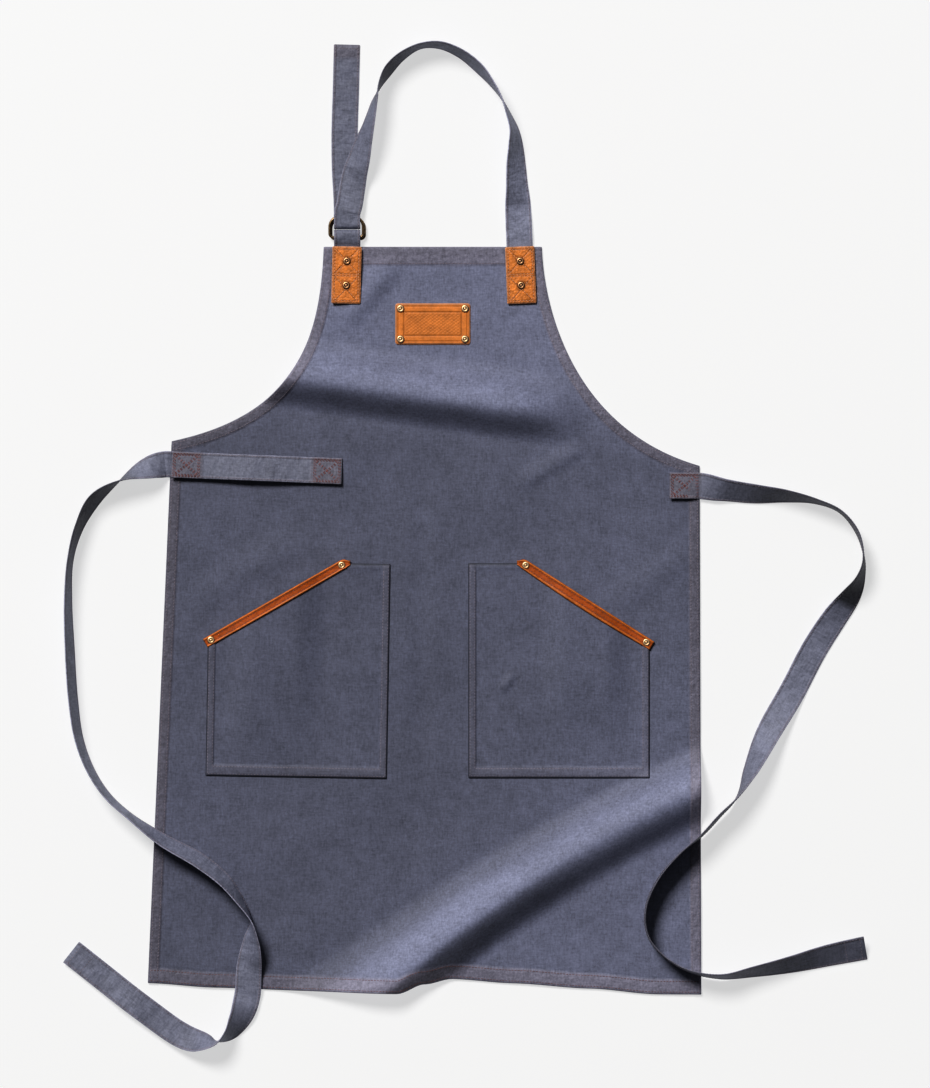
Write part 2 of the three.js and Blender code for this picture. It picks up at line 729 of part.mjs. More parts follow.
// The towel loop runs inwards from the left edge, and the left tie's sewn end lies under its outer end.
const loopTurn = -2.3;
const loopBelowChest = 28;
const loopStart = { x: -sides.left.chest, y: bodyLength - sides.left.armhole - loopBelowChest };
const loopPlace = (along) => ({
  x: loopStart.x + along * Math.cos(rad(loopTurn)),
  y: loopStart.y + along * Math.sin(rad(loopTurn)),
});
const loopSteps = 24;
const loopSlack = 0.25;
function towelLoop() {
  const free = loopLength - 2 * sewnLength;
  return Array.from({ length: loopSteps + 1 }, (_, i) => {
    const along = (loopLength * i) / loopSteps;
    const share = clamp((along - sewnLength) / free, 0, 1);
    const level = lerp(strapStep, 0, smooth(share));
    const arch = loopGape * smooth(share / loopSlack) * smooth((1 - share) / loopSlack);
    const { x, y } = loopPlace(along);
    return { point: new THREE.Vector3(x, y, onCloth + strapWall / 2 + level + arch), roll: 0 };
  });
}
addPiece("towel_loop", materials.canvas, strap(towelLoop()));

const tieFlatBeyond = 8;
const leftTieEnd = [sewnLength - 2, sewnLength / 2, 0, -tieFlatBeyond].map(loopPlace);
const leftTie = [...leftTieEnd.map((place) => ({ ...place, roll: 0 })), ...leftTieRoute.map(tieRow)];
addPiece("waist_tie_left", materials.canvas, strap(lying(leftTie, tieSteps)));

const rightTieBelowChest = 24;
const rightTieTurn = 0.5;
const rightTieEnd = [1, 0.5, 0].map((share) => ({
  x: sides.right.chest - share * sewnLength,
  y: bodyLength - sides.right.armhole - rightTieBelowChest + share * sewnLength * Math.tan(rad(rightTieTurn)),
  roll: 0,
}));
const rightTie = [...rightTieEnd, ...rightTieRoute.map(tieRow)];
addPiece("waist_tie_right", materials.canvas, strap(lying(rightTie, tieSteps)));

// The rings lie over each other. The neck strap turns round their arcs, and the anchor strap round the bars.
const ringLowZ = strapWall + seam + ringWire / 2;
const ringHighZ = ringLowZ + ringWire + seam;
const turnTop = ringHighZ + ringWire / 2 + seam + strapWall / 2;
const turnRadius = (turnTop - strapWall / 2) / 2;
const turnZ = turnTop - turnRadius;
const ringX = tabs.left.x;
const ringBarY = bodyLength + ringBarAbove;
const ringArcY = ringBarY + ringHeight - ringWire;
const neckTurnY = ringArcY - 8;
const neckFlatAbove = 20;
const neckLevelBefore = 14;
const anchorTurnY = ringBarY + 4.6;
const anchorOpensAt = 7;
const sewnUnderTab = tabLength - 6;

function halfTurn(x, y, sign) {
  return Array.from({ length: turnSteps + 1 }, (_, i) => {
    const angle = (Math.PI * i) / turnSteps;
    const out = sign * turnRadius * Math.sin(angle);
    return { point: new THREE.Vector3(x, y + out, turnZ + turnRadius * Math.cos(angle)), roll: 0 };
  });
}

function neckStrap() {
  const overRings = turnTop - strapWall / 2;
  const start = [sewnUnderTab, sewnUnderTab / 2, 0, -neckFlatAbove];
  const rows = [
    ...start.map((down) => ({ ...tabPlace(tabs.right, 0, down), roll: 0 })),
    ...neckRoute.map((row) => ({
      x: row.across * bibWidth,
      y: bodyLength + row.up * neckLoopHeight,
      roll: row.roll,
      over: row.over,
    })),
    { x: ringX, y: neckTurnY + 12, roll: 0, over: 1 },
    { x: ringX, y: neckTurnY + 1, roll: 0, over: 1 },
  ];
  const loop = lying(rows, neckSteps, (over) => over * overRings);
  for (const { point } of loop) {
    if (point.x < 0 && point.y < neckTurnY + neckLevelBefore) point.z = turnTop;
  }
  const turn = halfTurn(ringX, neckTurnY, -1);
  const tailRows = [
    { x: ringX, y: neckTurnY + 2, roll: 0 },
    ...tailRoute.map((row) => ({ x: row.across * bibWidth, y: neckTurnY + row.along * tailLength, roll: 0 })),
  ];
  const tail = lying(tailRows, tailSteps);
  for (const { point } of tail) point.z = strapWall / 2;
  return strap([...loop, ...turn, ...tail]);
}
addPiece("neck_strap", materials.canvas, withHoles(neckStrap(), Object.values(tabRivets)));

function buckleAnchor() {
  const lowZ = onCloth + strapWall / 2;
  const highZ = lowZ + strapStep;
  const leg = (z, end) => [
    { down: sewnUnderTab, z },
    { down: sewnUnderTab / 2, z },
    { down: 0, z },
    { down: -1.5, z: lerp(z, end, 0.15) },
    { down: -anchorOpensAt, z: end },
  ].map((row) => {
    const place = tabPlace(tabs.left, 0, row.down);
    return { point: new THREE.Vector3(place.x, place.y, row.z), roll: 0 };
  });
  const lowLeg = leg(lowZ, strapWall / 2).reverse();
  return strap([...leg(highZ, turnTop), ...halfTurn(ringX, anchorTurnY, 1), ...lowLeg]);
}
addPiece("buckle_anchor", materials.canvas, withHoles(buckleAnchor(), Object.values(tabRivets)));

// A D-ring: round wire along a rounded outline with its straight bar towards the bib.
function ring(z, shiftX, shiftY) {
  const halfWidth = (ringWidth - ringWire) / 2;
  const height = ringHeight - ringWire;
  const corners = [
    { x: halfWidth, y: 0, radius: ringBarCorner, from: -90 },
    { x: halfWidth, y: height, radius: ringArcCorner, from: 0 },
    { x: -halfWidth, y: height, radius: ringArcCorner, from: 90 },
    { x: -halfWidth, y: 0, radius: ringBarCorner, from: 180 },
  ];
  const line = corners.flatMap(({ x, y, radius, from }) =>
    [0, 22.5, 45, 67.5, 90].map((step) => {
      const angle = rad(from + step);
      const centreX = x - Math.sign(x) * radius;
      const centreY = y + (y > 0 ? -radius : radius);
      const out = new THREE.Vector2(Math.cos(angle), Math.sin(angle));
      return { centre: new THREE.Vector2(centreX + radius * out.x, centreY + radius * out.y), out };
    }),
  );
  const sections = line.map(({ centre, out }) =>
    Array.from({ length: ringSides }, (_, k) => {
      const angle = (2 * Math.PI * k) / ringSides;
      const reach = (ringWire / 2) * Math.cos(angle);
      return new THREE.Vector3(
        ringX + shiftX + centre.x + reach * out.x,
        ringBarY + shiftY + centre.y + reach * out.y,
        z + (ringWire / 2) * Math.sin(angle),
      );
    }),
  );
  const faces = [];
  sections.forEach((_, i) => {
    const next = (i + 1) % sections.length;
    for (let k = 0; k < ringSides; k++) {
      const k2 = (k + 1) % ringSides;
      const [a, b] = [i * ringSides + k, next * ringSides + k];
      const [c, d] = [next * ringSides + k2, i * ringSides + k2];
      faces.push(a, b, c, a, c, d);
    }
  });
  const geometry = new THREE.BufferGeometry().setFromPoints(sections.flat());
  geometry.setIndex(faces);
  return geometry;
}
addPiece("ring_lower", materials.brass, ring(ringLowZ, ringShift, -ringShift));
addPiece("ring_upper", materials.brass, ring(ringHighZ, -ringShift, ringShift));

// The middle of the bottom of the bounding box becomes the origin.
const box = new THREE.Box3().setFromObject(apron);
apron.position.set(-(box.min.x + box.max.x) / 2, -(box.min.y + box.max.y) / 2, -box.min.z);

export default apron;
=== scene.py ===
"""The looks of a grill apron that lies front up: canvas, straps, leather, rivets, rings and stitches.

Metres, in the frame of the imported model. Shapes are worked out on the apron's own plan, whose origin is the
middle of its lower edge, and moved to their place when they become meshes.
"""

import bpy
import numpy as np
from bpy.props import FloatProperty, FloatVectorProperty, PointerProperty
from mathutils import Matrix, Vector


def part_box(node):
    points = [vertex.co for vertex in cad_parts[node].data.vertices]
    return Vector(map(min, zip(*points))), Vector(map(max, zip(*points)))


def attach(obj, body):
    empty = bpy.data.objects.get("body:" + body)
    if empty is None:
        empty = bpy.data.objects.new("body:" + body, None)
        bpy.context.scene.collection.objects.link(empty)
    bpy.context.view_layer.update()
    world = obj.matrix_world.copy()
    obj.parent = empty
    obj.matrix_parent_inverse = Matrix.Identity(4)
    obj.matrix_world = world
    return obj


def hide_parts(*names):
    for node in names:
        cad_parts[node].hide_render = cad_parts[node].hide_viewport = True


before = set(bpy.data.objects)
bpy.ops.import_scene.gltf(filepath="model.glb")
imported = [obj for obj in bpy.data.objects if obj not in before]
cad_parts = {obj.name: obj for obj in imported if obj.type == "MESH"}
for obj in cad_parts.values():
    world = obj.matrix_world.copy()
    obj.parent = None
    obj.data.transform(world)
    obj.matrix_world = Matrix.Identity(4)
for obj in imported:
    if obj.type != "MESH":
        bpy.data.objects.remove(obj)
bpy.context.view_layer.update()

bl_info = {
    "name": "Grill Apron",
    "version": (1, 0, 0),
    "blender": (4, 5, 0),
    "location": "View3D > Sidebar > Apron",
    "description": "Builds a canvas and leather grill apron that lies front up",
    "category": "Add Mesh",
}

# Canvas body
BODY_LENGTH = 0.906
BODY_WIDTH = 0.675
BIB_WIDTH = 0.265
CLOTH_WALL = 0.0012
HEM_EXTRA = 0.0012
CLOTH_TOP = HEM_EXTRA + CLOTH_WALL
SIDE_HEM = 0.012
LOWER_HEM = 0.017
TOP_HEM = 0.021
HEMS = (SIDE_HEM, LOWER_HEM, TOP_HEM)
HEM_SOFT = (0.2, 0.2, 0.15)
HEM_PUFF = 0.0004
# Insets of the stitch lines from the edges of the sides, the lower edge and the top
SIDE_STITCHES = (0.0022, SIDE_HEM - 0.0014)
LOWER_STITCHES = (0.0024, LOWER_HEM - 0.0016)
TOP_STITCH = TOP_HEM - 0.0014
LOWER_WAVE = 0.015
# Gaps between layers, and between the cloth and the floor
SEAM = 0.0003
FLOOR_GAP = 0.00002
FOLD_HEIGHT = 0.024
FOLD_REACH = 0.052
# The sway's waves, how far it is level about the badge, across and up, and down from the bib's top
SWAY_SEED = 11
SWAY_WAVES = 12
SWAY_LENGTHS = (0.07, 0.26)
BADGE_LEVEL = (0.09, 0.06)
TAB_LEVEL = 0.075

# Straps, leather and metal
STRAP_WIDTH = 0.032
STRAP_WALL = 0.0016
STRAP_STEP = STRAP_WALL + SEAM
NECK_HEIGHT = 0.249
TAIL_LENGTH = 0.218
SEWN_LENGTH = 0.036
LEATHER_WALL = 0.0018
TAB_WIDTH = 0.035
TAB_LENGTH = 0.069
BADGE_WIDTH = 0.091
BADGE_HEIGHT = 0.0495
BADGE_BELOW_TOP = 0.0935
TRIM_WIDTH = 0.012
TRIM_PAST_OUTER = 0.008
TRIM_PAST_INNER = 0.011
RIVET_HEAD = 0.0094
RIVET_HEIGHT = 0.0017
RIVET_SHANK = 0.003
RIVET_CAP = 0.0084
POCKET_WIDTH = 0.220
POCKET_HEIGHT = 0.261
POCKET_SIDE = 0.165
POCKET_TOP = 0.064
POCKET_GAPE = 0.0062
LOOP_LENGTH = 0.207
LOOP_GAPE = 0.0066
RING_WIDTH = 0.044
RING_HEIGHT = 0.029
RING_WIRE = 0.0032

# The body's sides: reach of the chest and of the hem from the middle, height of the armhole, drop of the
# lower corner, pulls of the armhole's curve as shares of its chord, and its turns in degrees
SIDES = {
    "left": dict(sign=-1, chest=0.318, hem=0.347, armhole=0.237, drop=-0.009, bib_pull=0.4, side_pull=0.5,
                 bib_turn=2, side_turn=12),
    "right": dict(sign=1, chest=0.325, hem=0.327, armhole=0.267, drop=0.005, bib_pull=0.24, side_pull=0.48,
                  bib_turn=2, side_turn=16),
}
# The lower edge from left to right: along as a share of its width, rise as a share of LOWER_WAVE
LOWER_EDGE = np.array([
    (0, 0), (0.12, -0.25), (0.28, -0.35), (0.45, -0.4), (0.5, 0.4), (0.55, 0.85), (0.66, 0.6), (0.8, 0.3),
    (0.92, -0.05), (1, 0),
])
# Folds, ridges along a bowed crest. Places across are shares of BODY_WIDTH and places up of BODY_LENGTH,
# bow, above and below are shares of FOLD_REACH and rise of FOLD_HEIGHT, fade the share of faded ends, and
# spread what above gains towards the start.
FOLDS = [
    dict(start=(-0.3, 0.829), end=(0.29, 0.766), bow=0, rise=0.78, above=1.05, below=0.76, fade=(0, 0.25)),
    dict(start=(-0.086, 0.0), end=(0.53, 0.287), bow=0.33, rise=1, above=1, below=0.86, fade=(0, 0),
         spread=0.45),
]
# Small creases that only show in the light
CREASES = [
    dict(start=(-0.172, 0.888), end=(-0.052, 0.992), bow=0, rise=0.14, above=0.6, below=0.42,
         fade=(0.3, 0.4)),
    dict(start=(0.14, 0.672), end=(0.29, 0.737), bow=0, rise=0.07, above=0.4, below=0.25, fade=(0.3, 0.3)),
    dict(start=(-0.02, 0.74), end=(-0.02, 0.26), bow=0, rise=-0.035, above=0.4, below=0.4, fade=(0.2, 0.2)),
    dict(start=(-0.46, 0.50), end=(-0.2, 0.62), bow=0.1, rise=0.06, above=0.7, below=0.6, fade=(0.3, 0.3)),
    dict(start=(0.3, 0.50), end=(0.5, 0.60), bow=0.1, rise=0.05, above=0.6, below=0.5, fade=(0.3, 0.3)),
]
# Straps, from the sewn end to the free end: across, up, roll of the strap about its length in degrees
LEFT_TIE = np.array([
    (-0.511, 0.703, 30), (-0.562, 0.687, 86), (-0.609, 0.661, 116), (-0.638, 0.623, 107),
    (-0.654, 0.579, 100), (-0.658, 0.525, 104), (-0.655, 0.458, 108), (-0.649, 0.391, 108),
    (-0.638, 0.337, 106), (-0.616, 0.294, 104), (-0.585, 0.26, 102), (-0.544, 0.233, 102),
    (-0.488, 0.203, 116), (-0.421, 0.175, 123), (-0.377, 0.149, 118), (-0.348, 0.121, 106),
    (-0.328, 0.094, 88), (-0.327, 0.066, 50), (-0.332, 0.027, 10), (-0.335, -0.007, 0),
    (-0.347, -0.036, -30), (-0.368, -0.059, -62), (-0.392, -0.07, -95), (-0.421, -0.069, -140),
    (-0.453, -0.061, -163), (-0.531, -0.02, -168), (-0.653, 0.051, -172),
])
RIGHT_TIE = np.array([
    (0.528, 0.673, 32), (0.582, 0.668, 44), (0.637, 0.665, 62), (0.691, 0.658, 80), (0.736, 0.644, 86),
    (0.767, 0.615, 86), (0.778, 0.579, 96), (0.772, 0.555, 112), (0.756, 0.532, 138), (0.725, 0.5, 165),
    (0.689, 0.458, 178), (0.649, 0.401, 182), (0.606, 0.346, 205), (0.573, 0.294, 240), (0.55, 0.26, 270),
    (0.519, 0.236, 277), (0.487, 0.21, 276), (0.443, 0.182, 272), (0.405, 0.148, 270), (0.384, 0.109, 270),
    (0.389, 0.073, 269), (0.418, 0.046, 267), (0.461, 0.027, 264), (0.519, 0.019, 258), (0.584, 0.026, 243),
    (0.646, 0.035, 228), (0.714, 0.047, 212), (0.781, 0.057, 204),
])
# Neck strap from the right tab to the rings: across as a share of BIB_WIDTH, up as a share of NECK_HEIGHT
# above the bib, roll in degrees, over as a share of its height above the ground at the rings
NECK = np.array([
    (0.392, 0.208, 14, 0), (0.388, 0.291, 32, 0), (0.383, 0.404, 43, 0), (0.381, 0.502, 57, 0),
    (0.374, 0.575, 70, 0), (0.349, 0.649, 80, 0), (0.317, 0.727, 90, 0), (0.275, 0.796, 99, 0),
    (0.213, 0.874, 109, 0), (0.13, 0.945, 107, 0), (0.033, 0.987, 103, 0), (-0.059, 0.982, 99, 0),
    (-0.146, 0.93, 106, 0), (-0.204, 0.864, 109, 0), (-0.243, 0.791, 96, 0.1), (-0.266, 0.717, 79, 0.26),
    (-0.282, 0.649, 70, 0.28), (-0.3, 0.575, 60, 0.28), (-0.321, 0.502, 45, 0.28), (-0.34, 0.428, 30, 0.28),
    (-0.36, 0.355, 14, 0.3), (-0.372, 0.281, 3, 0.52), (-0.383, 0.208, 0, 0.86),
])
# Painted light and shade along the straps, at rows of their tables, and before them at the rows of their sewn
# ends
LEFT_PAINTED_LIGHT = [(-4, 1), (0.4, 1.1), (0.9, 0.5), (3, 0.4), (4, 0.7), (5, 1.3), (8, 1.4), (12, 1.2), (26, 1.05)]
RIGHT_PAINTED_LIGHT = [(-3, 1), (0, 1.05), (1.3, 0.75), (3, 0.45), (5, 0.5), (6, 0.38), (8.3, 0.3), (8.6, 1.2),
              (12, 1.25), (13, 1), (14.5, 0.5), (20, 0.45), (23, 0.75), (27, 0.9)]
NECK_PAINTED_LIGHT = [(-4, 1), (0, 1.55), (5, 1.6), (9, 1.2), (11, 1), (12.5, 0.5), (14, 0.55), (15.5, 1), (22, 1)]
# The free tail from the rings: across as a share of BIB_WIDTH, along as a share of TAIL_LENGTH
TAIL = np.array([(-0.397, 0.15), (-0.404, 0.3), (-0.406, 0.5), (-0.4, 0.75), (-0.395, 1)])

BODY_LOW, BODY_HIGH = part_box("apron_body")
ORIGIN = np.array([BODY_LOW[0] + SIDES["left"]["hem"], BODY_HIGH[1] - BODY_LENGTH, BODY_LOW[2]])
ON_CLOTH = CLOTH_TOP + SEAM
UP = np.array([0.0, 0.0, 1.0])


class ApronSizes(bpy.types.PropertyGroup):
    """Sizes of the apron's finish."""

    sway: FloatProperty(name="Sway", description="Height of the canvas's soft unevenness", default=0.0013,
                        unit="LENGTH")
    stitch: FloatProperty(name="Stitch", description="Length of one stitch", default=0.0027, unit="LENGTH")
    stitch_gap: FloatProperty(name="Stitch gap", description="Gap between two stitches", default=0.001,
                              unit="LENGTH")
    thread: FloatProperty(name="Thread", description="Width of the thread", default=0.0007, unit="LENGTH")
    weave: FloatProperty(name="Weave", description="Distance from yarn to yarn", default=0.0009,
                         unit="LENGTH")
    camera_height: FloatProperty(name="Camera height", description="Height of the camera above the apron",
                                 default=10.0, unit="LENGTH")


def colour(name, text, value):
    """A colour property with its default."""
    return FloatVectorProperty(name=name, description=text, default=value, subtype="COLOR", size=3, min=0,
                               max=1)


class ApronColours(bpy.types.PropertyGroup):
    """Colours of the apron and its stage."""

    canvas: colour("Canvas", "Main colour of the canvas", (0.151, 0.161, 0.230))
    hem: colour("Hem", "Washed colour of the hems and seams", (0.168, 0.155, 0.192))
    strap: colour("Strap", "Colour of the straps", (0.198, 0.207, 0.274))
    thread: colour("Thread", "Colour of the thread of the lower hem", (0.26, 0.135, 0.125))
    rust_thread: colour("Rust thread", "Colour of the thread of the sewn boxes", (0.30, 0.125, 0.115))
    pale_thread: colour("Pale thread", "Colour of the thread of the straps", (0.34, 0.29, 0.33))
    tab_thread: colour("Tab thread", "Colour of the thread of the leather", (0.84, 0.52, 0.35))
    leather: colour("Leather", "Colour of the badge and the tabs", (0.80, 0.290, 0.064))
    trim: colour("Trim", "Colour of the leather along the pockets", (0.50, 0.118, 0.014))
    leather_edge: colour("Leather edge", "Colour of the worn leather edges", (0.86, 0.48, 0.30))
    brass: colour("Brass", "Colour of the rivets", (0.86, 0.62, 0.37))
    worn_brass: colour("Worn brass", "Colour of the rivets of the tabs", (0.68, 0.40, 0.22))
    patina: colour("Patina", "Colour of the dark metal", (0.060, 0.036, 0.018))
    floor: colour("Floor", "Colour of the floor", (0.305, 0.307, 0.310))


# Curves and surfaces on the apron's plan


def smooth(x):
    """3 x squared less 2 x cubed, with x held between 0 and 1."""
    x = np.clip(x, 0.0, 1.0)
    return x * x * (3.0 - 2.0 * x)


def mix(a, b, share):
    """a where share is 0, b where it is 1, and a straight line between."""
    return a + (b - a) * share


def bell(distance, width):
    """A bell curve: e to the power of minus the square of distance over width."""
    return np.exp(-((distance / width) ** 2))


def run_along(line):
    """The distance along a line of points, from its start."""
    return np.r_[0, np.cumsum(np.linalg.norm(np.diff(line, axis=0), axis=1))]


def unit(vectors):
    """Vectors of length 1."""
    return vectors / np.maximum(np.linalg.norm(vectors, axis=-1, keepdims=True), 1e-9)


def side_point(name, place):
    """Straight from the lower corner (0) to the chest corner (1), then a cubic Bezier to the bib (2)."""
    side = SIDES[name]
    sign = side["sign"]
    place = np.asarray(place, dtype=float)[..., None]
    lower = np.array([sign * side["hem"], -side["drop"]])
    chest = np.array([sign * side["chest"], BODY_LENGTH - side["armhole"]])
    bib = np.array([sign * BIB_WIDTH / 2, BODY_LENGTH])
    chord = np.linalg.norm(bib - chest)
    at_side, at_bib = np.radians(side["side_turn"]), np.radians(side["bib_turn"])
    pull = chest + side["side_pull"] * chord * np.array([-sign * np.cos(at_side), np.sin(at_side)])
    reach = bib + side["bib_pull"] * chord * np.array([sign * np.sin(at_bib), -np.cos(at_bib)])
    t = np.clip(place - 1, 0, 1)
    curve = (1 - t) ** 3 * chest + 3 * (1 - t) ** 2 * t * pull + 3 * (1 - t) * t**2 * reach + t**3 * bib
    return np.where(place <= 1, mix(lower, chest, place), curve)


def body_point(along, place):
    """Straight from the left side to the right side at one place, raised by the lower edge's wave."""
    left, right = side_point("left", place), side_point("right", place)
    point = mix(left, right, along[..., None])
    after = np.clip(np.searchsorted(LOWER_EDGE[:, 0], along), 1, len(LOWER_EDGE) - 1)
    before = LOWER_EDGE[after - 1]
    share = (along - before[..., 0]) / (LOWER_EDGE[after, 0] - before[..., 0])
    rise = LOWER_WAVE * mix(before[..., 1], LOWER_EDGE[after, 1], smooth(share))
    point[..., 1] += rise * (1 - np.clip(place, 0, 1))
    return point[..., 0], point[..., 1]


def line_distance(x, y, line):
    """The distance of each place to the nearest stretch of a line of points."""
    nearest = np.full(np.shape(x), np.inf)
    for a, b in zip(line[:-1], line[1:]):
        step = b - a
        share = np.clip(((x - a[0]) * step[0] + (y - a[1]) * step[1]) / (step @ step), 0, 1)
        nearest = np.minimum(nearest, np.hypot(x - a[0] - share * step[0], y - a[1] - share * step[1]))
    return nearest


SIDE_LINES = {name: side_point(name, np.r_[np.linspace(0, 1, 8), np.linspace(1.02, 2, 50)]) for name in SIDES}
LOWER_LINE = np.stack(body_point(np.linspace(0, 1, 90), np.zeros(90)), -1)


def edge_distances(x, y):
    """The distances to the sides, to the lower edge and to the top edge of the body."""
    sides = np.minimum(line_distance(x, y, SIDE_LINES["left"]), line_distance(x, y, SIDE_LINES["right"]))
    return sides, line_distance(x, y, LOWER_LINE), np.abs(BODY_LENGTH - y)


def ridge(x, y, fold):
    """Half cosine waves that fall to both sides of a bowed crest, times the rise, faded at its ends."""
    size = np.array([BODY_WIDTH, BODY_LENGTH])
    start, end = np.array(fold["start"]) * size, np.array(fold["end"]) * size
    length = np.linalg.norm(end - start)
    ahead = (end - start) / length
    share = ((x - start[0]) * ahead[0] + (y - start[1]) * ahead[1]) / length
    inside = np.clip(share, 0, 1)
    away = (y - start[1]) * ahead[0] - (x - start[0]) * ahead[1]
    away = away - fold["bow"] * FOLD_REACH * 4 * inside * (1 - inside)
    spread = 1 + fold.get("spread", 0) * (1 - inside) ** 2
    reach = FOLD_REACH * np.where(away > 0, fold["above"] * spread, fold["below"])
    wave = np.where(np.abs(away) < reach, (1 + np.cos(np.pi * away / reach)) / 2, 0)
    first, last = fold["fade"]
    fade = (smooth(share / first) if first else 1) * (smooth((1 - share) / last) if last else 1)
    return fold["rise"] * FOLD_HEIGHT * fade * wave


def sway(x, y, height):
    """A sum of slow waves in seeded directions, 0 to height, level round the badge and the tabs."""
    rng = np.random.default_rng(SWAY_SEED)
    total = np.zeros(np.shape(x))
    for _ in range(SWAY_WAVES):
        turn, length, phase = rng.uniform(0, np.pi), rng.uniform(*SWAY_LENGTHS), rng.uniform(0, 2 * np.pi)
        total += np.sin((x * np.cos(turn) + y * np.sin(turn)) * 2 * np.pi / length + phase)
    away = np.hypot(x / BADGE_LEVEL[0], (y - BODY_LENGTH + BADGE_BELOW_TOP) / BADGE_LEVEL[1])
    level = smooth(away - 0.8) * smooth((BODY_LENGTH - TAB_LEVEL - y) / 0.05)
    return height * level * smooth(0.5 + total / SWAY_WAVES)


def relief(x, y):
    """The folds, the creases and the sway of the canvas, without what its hems add."""
    total = sway(x, y, bpy.context.scene.apron_sizes.sway)
    for fold in FOLDS + CREASES:
        total = total + ridge(x, y, fold)
    return total


def cloth_height(x, y):
    """The height of the body's front: its flat height and its relief."""
    return CLOTH_TOP + relief(x, y)


def puff(distance, width, height=HEM_PUFF):
    """A sewn band: a low swelling between its two stitch lines and a groove along its inner edge."""
    share = np.clip(distance / width, 0, 1)
    return height * (np.sin(np.pi * share) ** 0.7 - 0.6 * bell(distance - width - 0.001, 0.0012))


def hem_share(distance, width, soft=0.2):
    """1 within a hem's width of its edge, falling softly to 0 beyond."""
    return 1 - smooth((distance / width - 0.95) / soft)


def hem_swelling(distances):
    """The swelling of the body's hems, from the distances to their edges."""
    return sum(puff(distance, hem) for distance, hem in zip(distances, HEMS))


def outside(x, y):
    """How far a place lies outside the body's outline, less than 0 inside."""
    reach = {name: np.interp(y, line[:, 1], line[:, 0]) for name, line in SIDE_LINES.items()}
    bottom = np.interp(x, LOWER_LINE[:, 0], LOWER_LINE[:, 1])
    return np.maximum.reduce([reach["left"] - x, x - reach["right"], bottom - y, y - BODY_LENGTH])


def ground(x, y):
    """What a strap lies on: the body's front, ramped down to the floor beside it."""
    ramp = 1 - smooth((outside(x, y) - STRAP_WIDTH / 2 - 0.004) / STRAP_WIDTH)
    return ramp * (cloth_height(x, y) + SEAM)


# Meshes from whole arrays


def wall(top, bottom, uv, marks, bulge, flip=False):
    """A closed wall between two grids of points. Its rim bulges outwards by half a sine wave.

    flip runs the grids' columns backwards, where faces would point inwards.
    """
    if flip:
        top, bottom, uv = (grid[:, ::-1] for grid in (top, bottom, uv))
        marks = {name: values[:, ::-1] for name, values in marks.items()}
    rows, columns = top.shape[:2]
    count = rows * columns
    index = np.arange(count).reshape(rows, columns)
    lid = np.stack([index[:-1, :-1], index[:-1, 1:], index[1:, 1:], index[1:, :-1]], -1).reshape(-1, 4)
    ring = np.concatenate([index[0, :-1], index[:-1, -1], index[-1, :0:-1], index[:0:-1, 0]])
    over, under = top.reshape(-1, 3)[ring], bottom.reshape(-1, 3)[ring]
    along = np.roll(over, -1, 0) - np.roll(over, 1, 0)
    out = unit(np.cross(along, over - under))
    loops = [mix(under, over, share) + out * bulge * np.sin(np.pi * share) for share in (0.2, 0.5, 0.8)]
    points = np.concatenate([top.reshape(-1, 3), bottom.reshape(-1, 3), *loops])
    steps = [ring + count]
    steps += [2 * count + k * len(ring) + np.arange(len(ring)) for k in range(len(loops))]
    steps.append(ring)
    rim = [np.stack([a, np.roll(a, -1), np.roll(b, -1), b], -1) for a, b in zip(steps[:-1], steps[1:])]
    faces = np.concatenate([lid, lid[:, ::-1] + count, *rim])
    spread = lambda values: np.concatenate([values, values, *[values[ring]] * len(loops)])
    flat_marks = {name: spread(values.reshape(-1)) for name, values in marks.items()}
    return dict(points=points, faces=faces, uv=spread(uv.reshape(-1, 2)), marks=flat_marks)


def raised(points, rise):
    """Points moved up by a rise."""
    return points + np.broadcast_to(rise, points.shape[:-1])[..., None] * UP


def join(parts):
    """One set of points and faces from several, without marks."""
    starts = np.cumsum([0] + [len(part["points"]) for part in parts])
    faces = np.concatenate([part["faces"] + start for part, start in zip(parts, starts)])
    points, uv = (np.concatenate([part[key] for part in parts]) for key in ("points", "uv"))
    return dict(points=points, faces=faces, uv=uv, marks={})


def lathe(profile, sides):
    """Radius and height pairs turned about the Z axis. The first and the last lie on the axis."""
    profile = np.array(profile)
    turn = np.arange(sides) * 2 * np.pi / sides
    radius, height = profile[1:-1, 0], profile[1:-1, 1]
    rings = np.stack([radius[:, None] * np.cos(turn), radius[:, None] * np.sin(turn),
                      np.repeat(height[:, None], sides, 1)], -1)
    poles = np.array([[0, 0, profile[0, 1]], [0, 0, profile[-1, 1]]])
    points = np.concatenate([rings.reshape(-1, 3), poles])
    index = np.arange(len(radius) * sides).reshape(-1, sides)
    after = np.roll(index, -1, 1)
    side = np.stack([index[1:], after[1:], after[:-1], index[:-1]], -1).reshape(-1, 4)
    top, low = len(points) - 2, len(points) - 1
    caps = [np.stack([index[0], after[0], np.full(sides, top), np.full(sides, top)], -1),
            np.stack([after[-1], index[-1], np.full(sides, low), np.full(sides, low)], -1)]
    reach = np.concatenate([np.repeat(radius, sides), [0, 0]])
    return dict(points=points, faces=np.concatenate([side, *caps]), uv=points[:, :2],
                marks={"reach": reach})


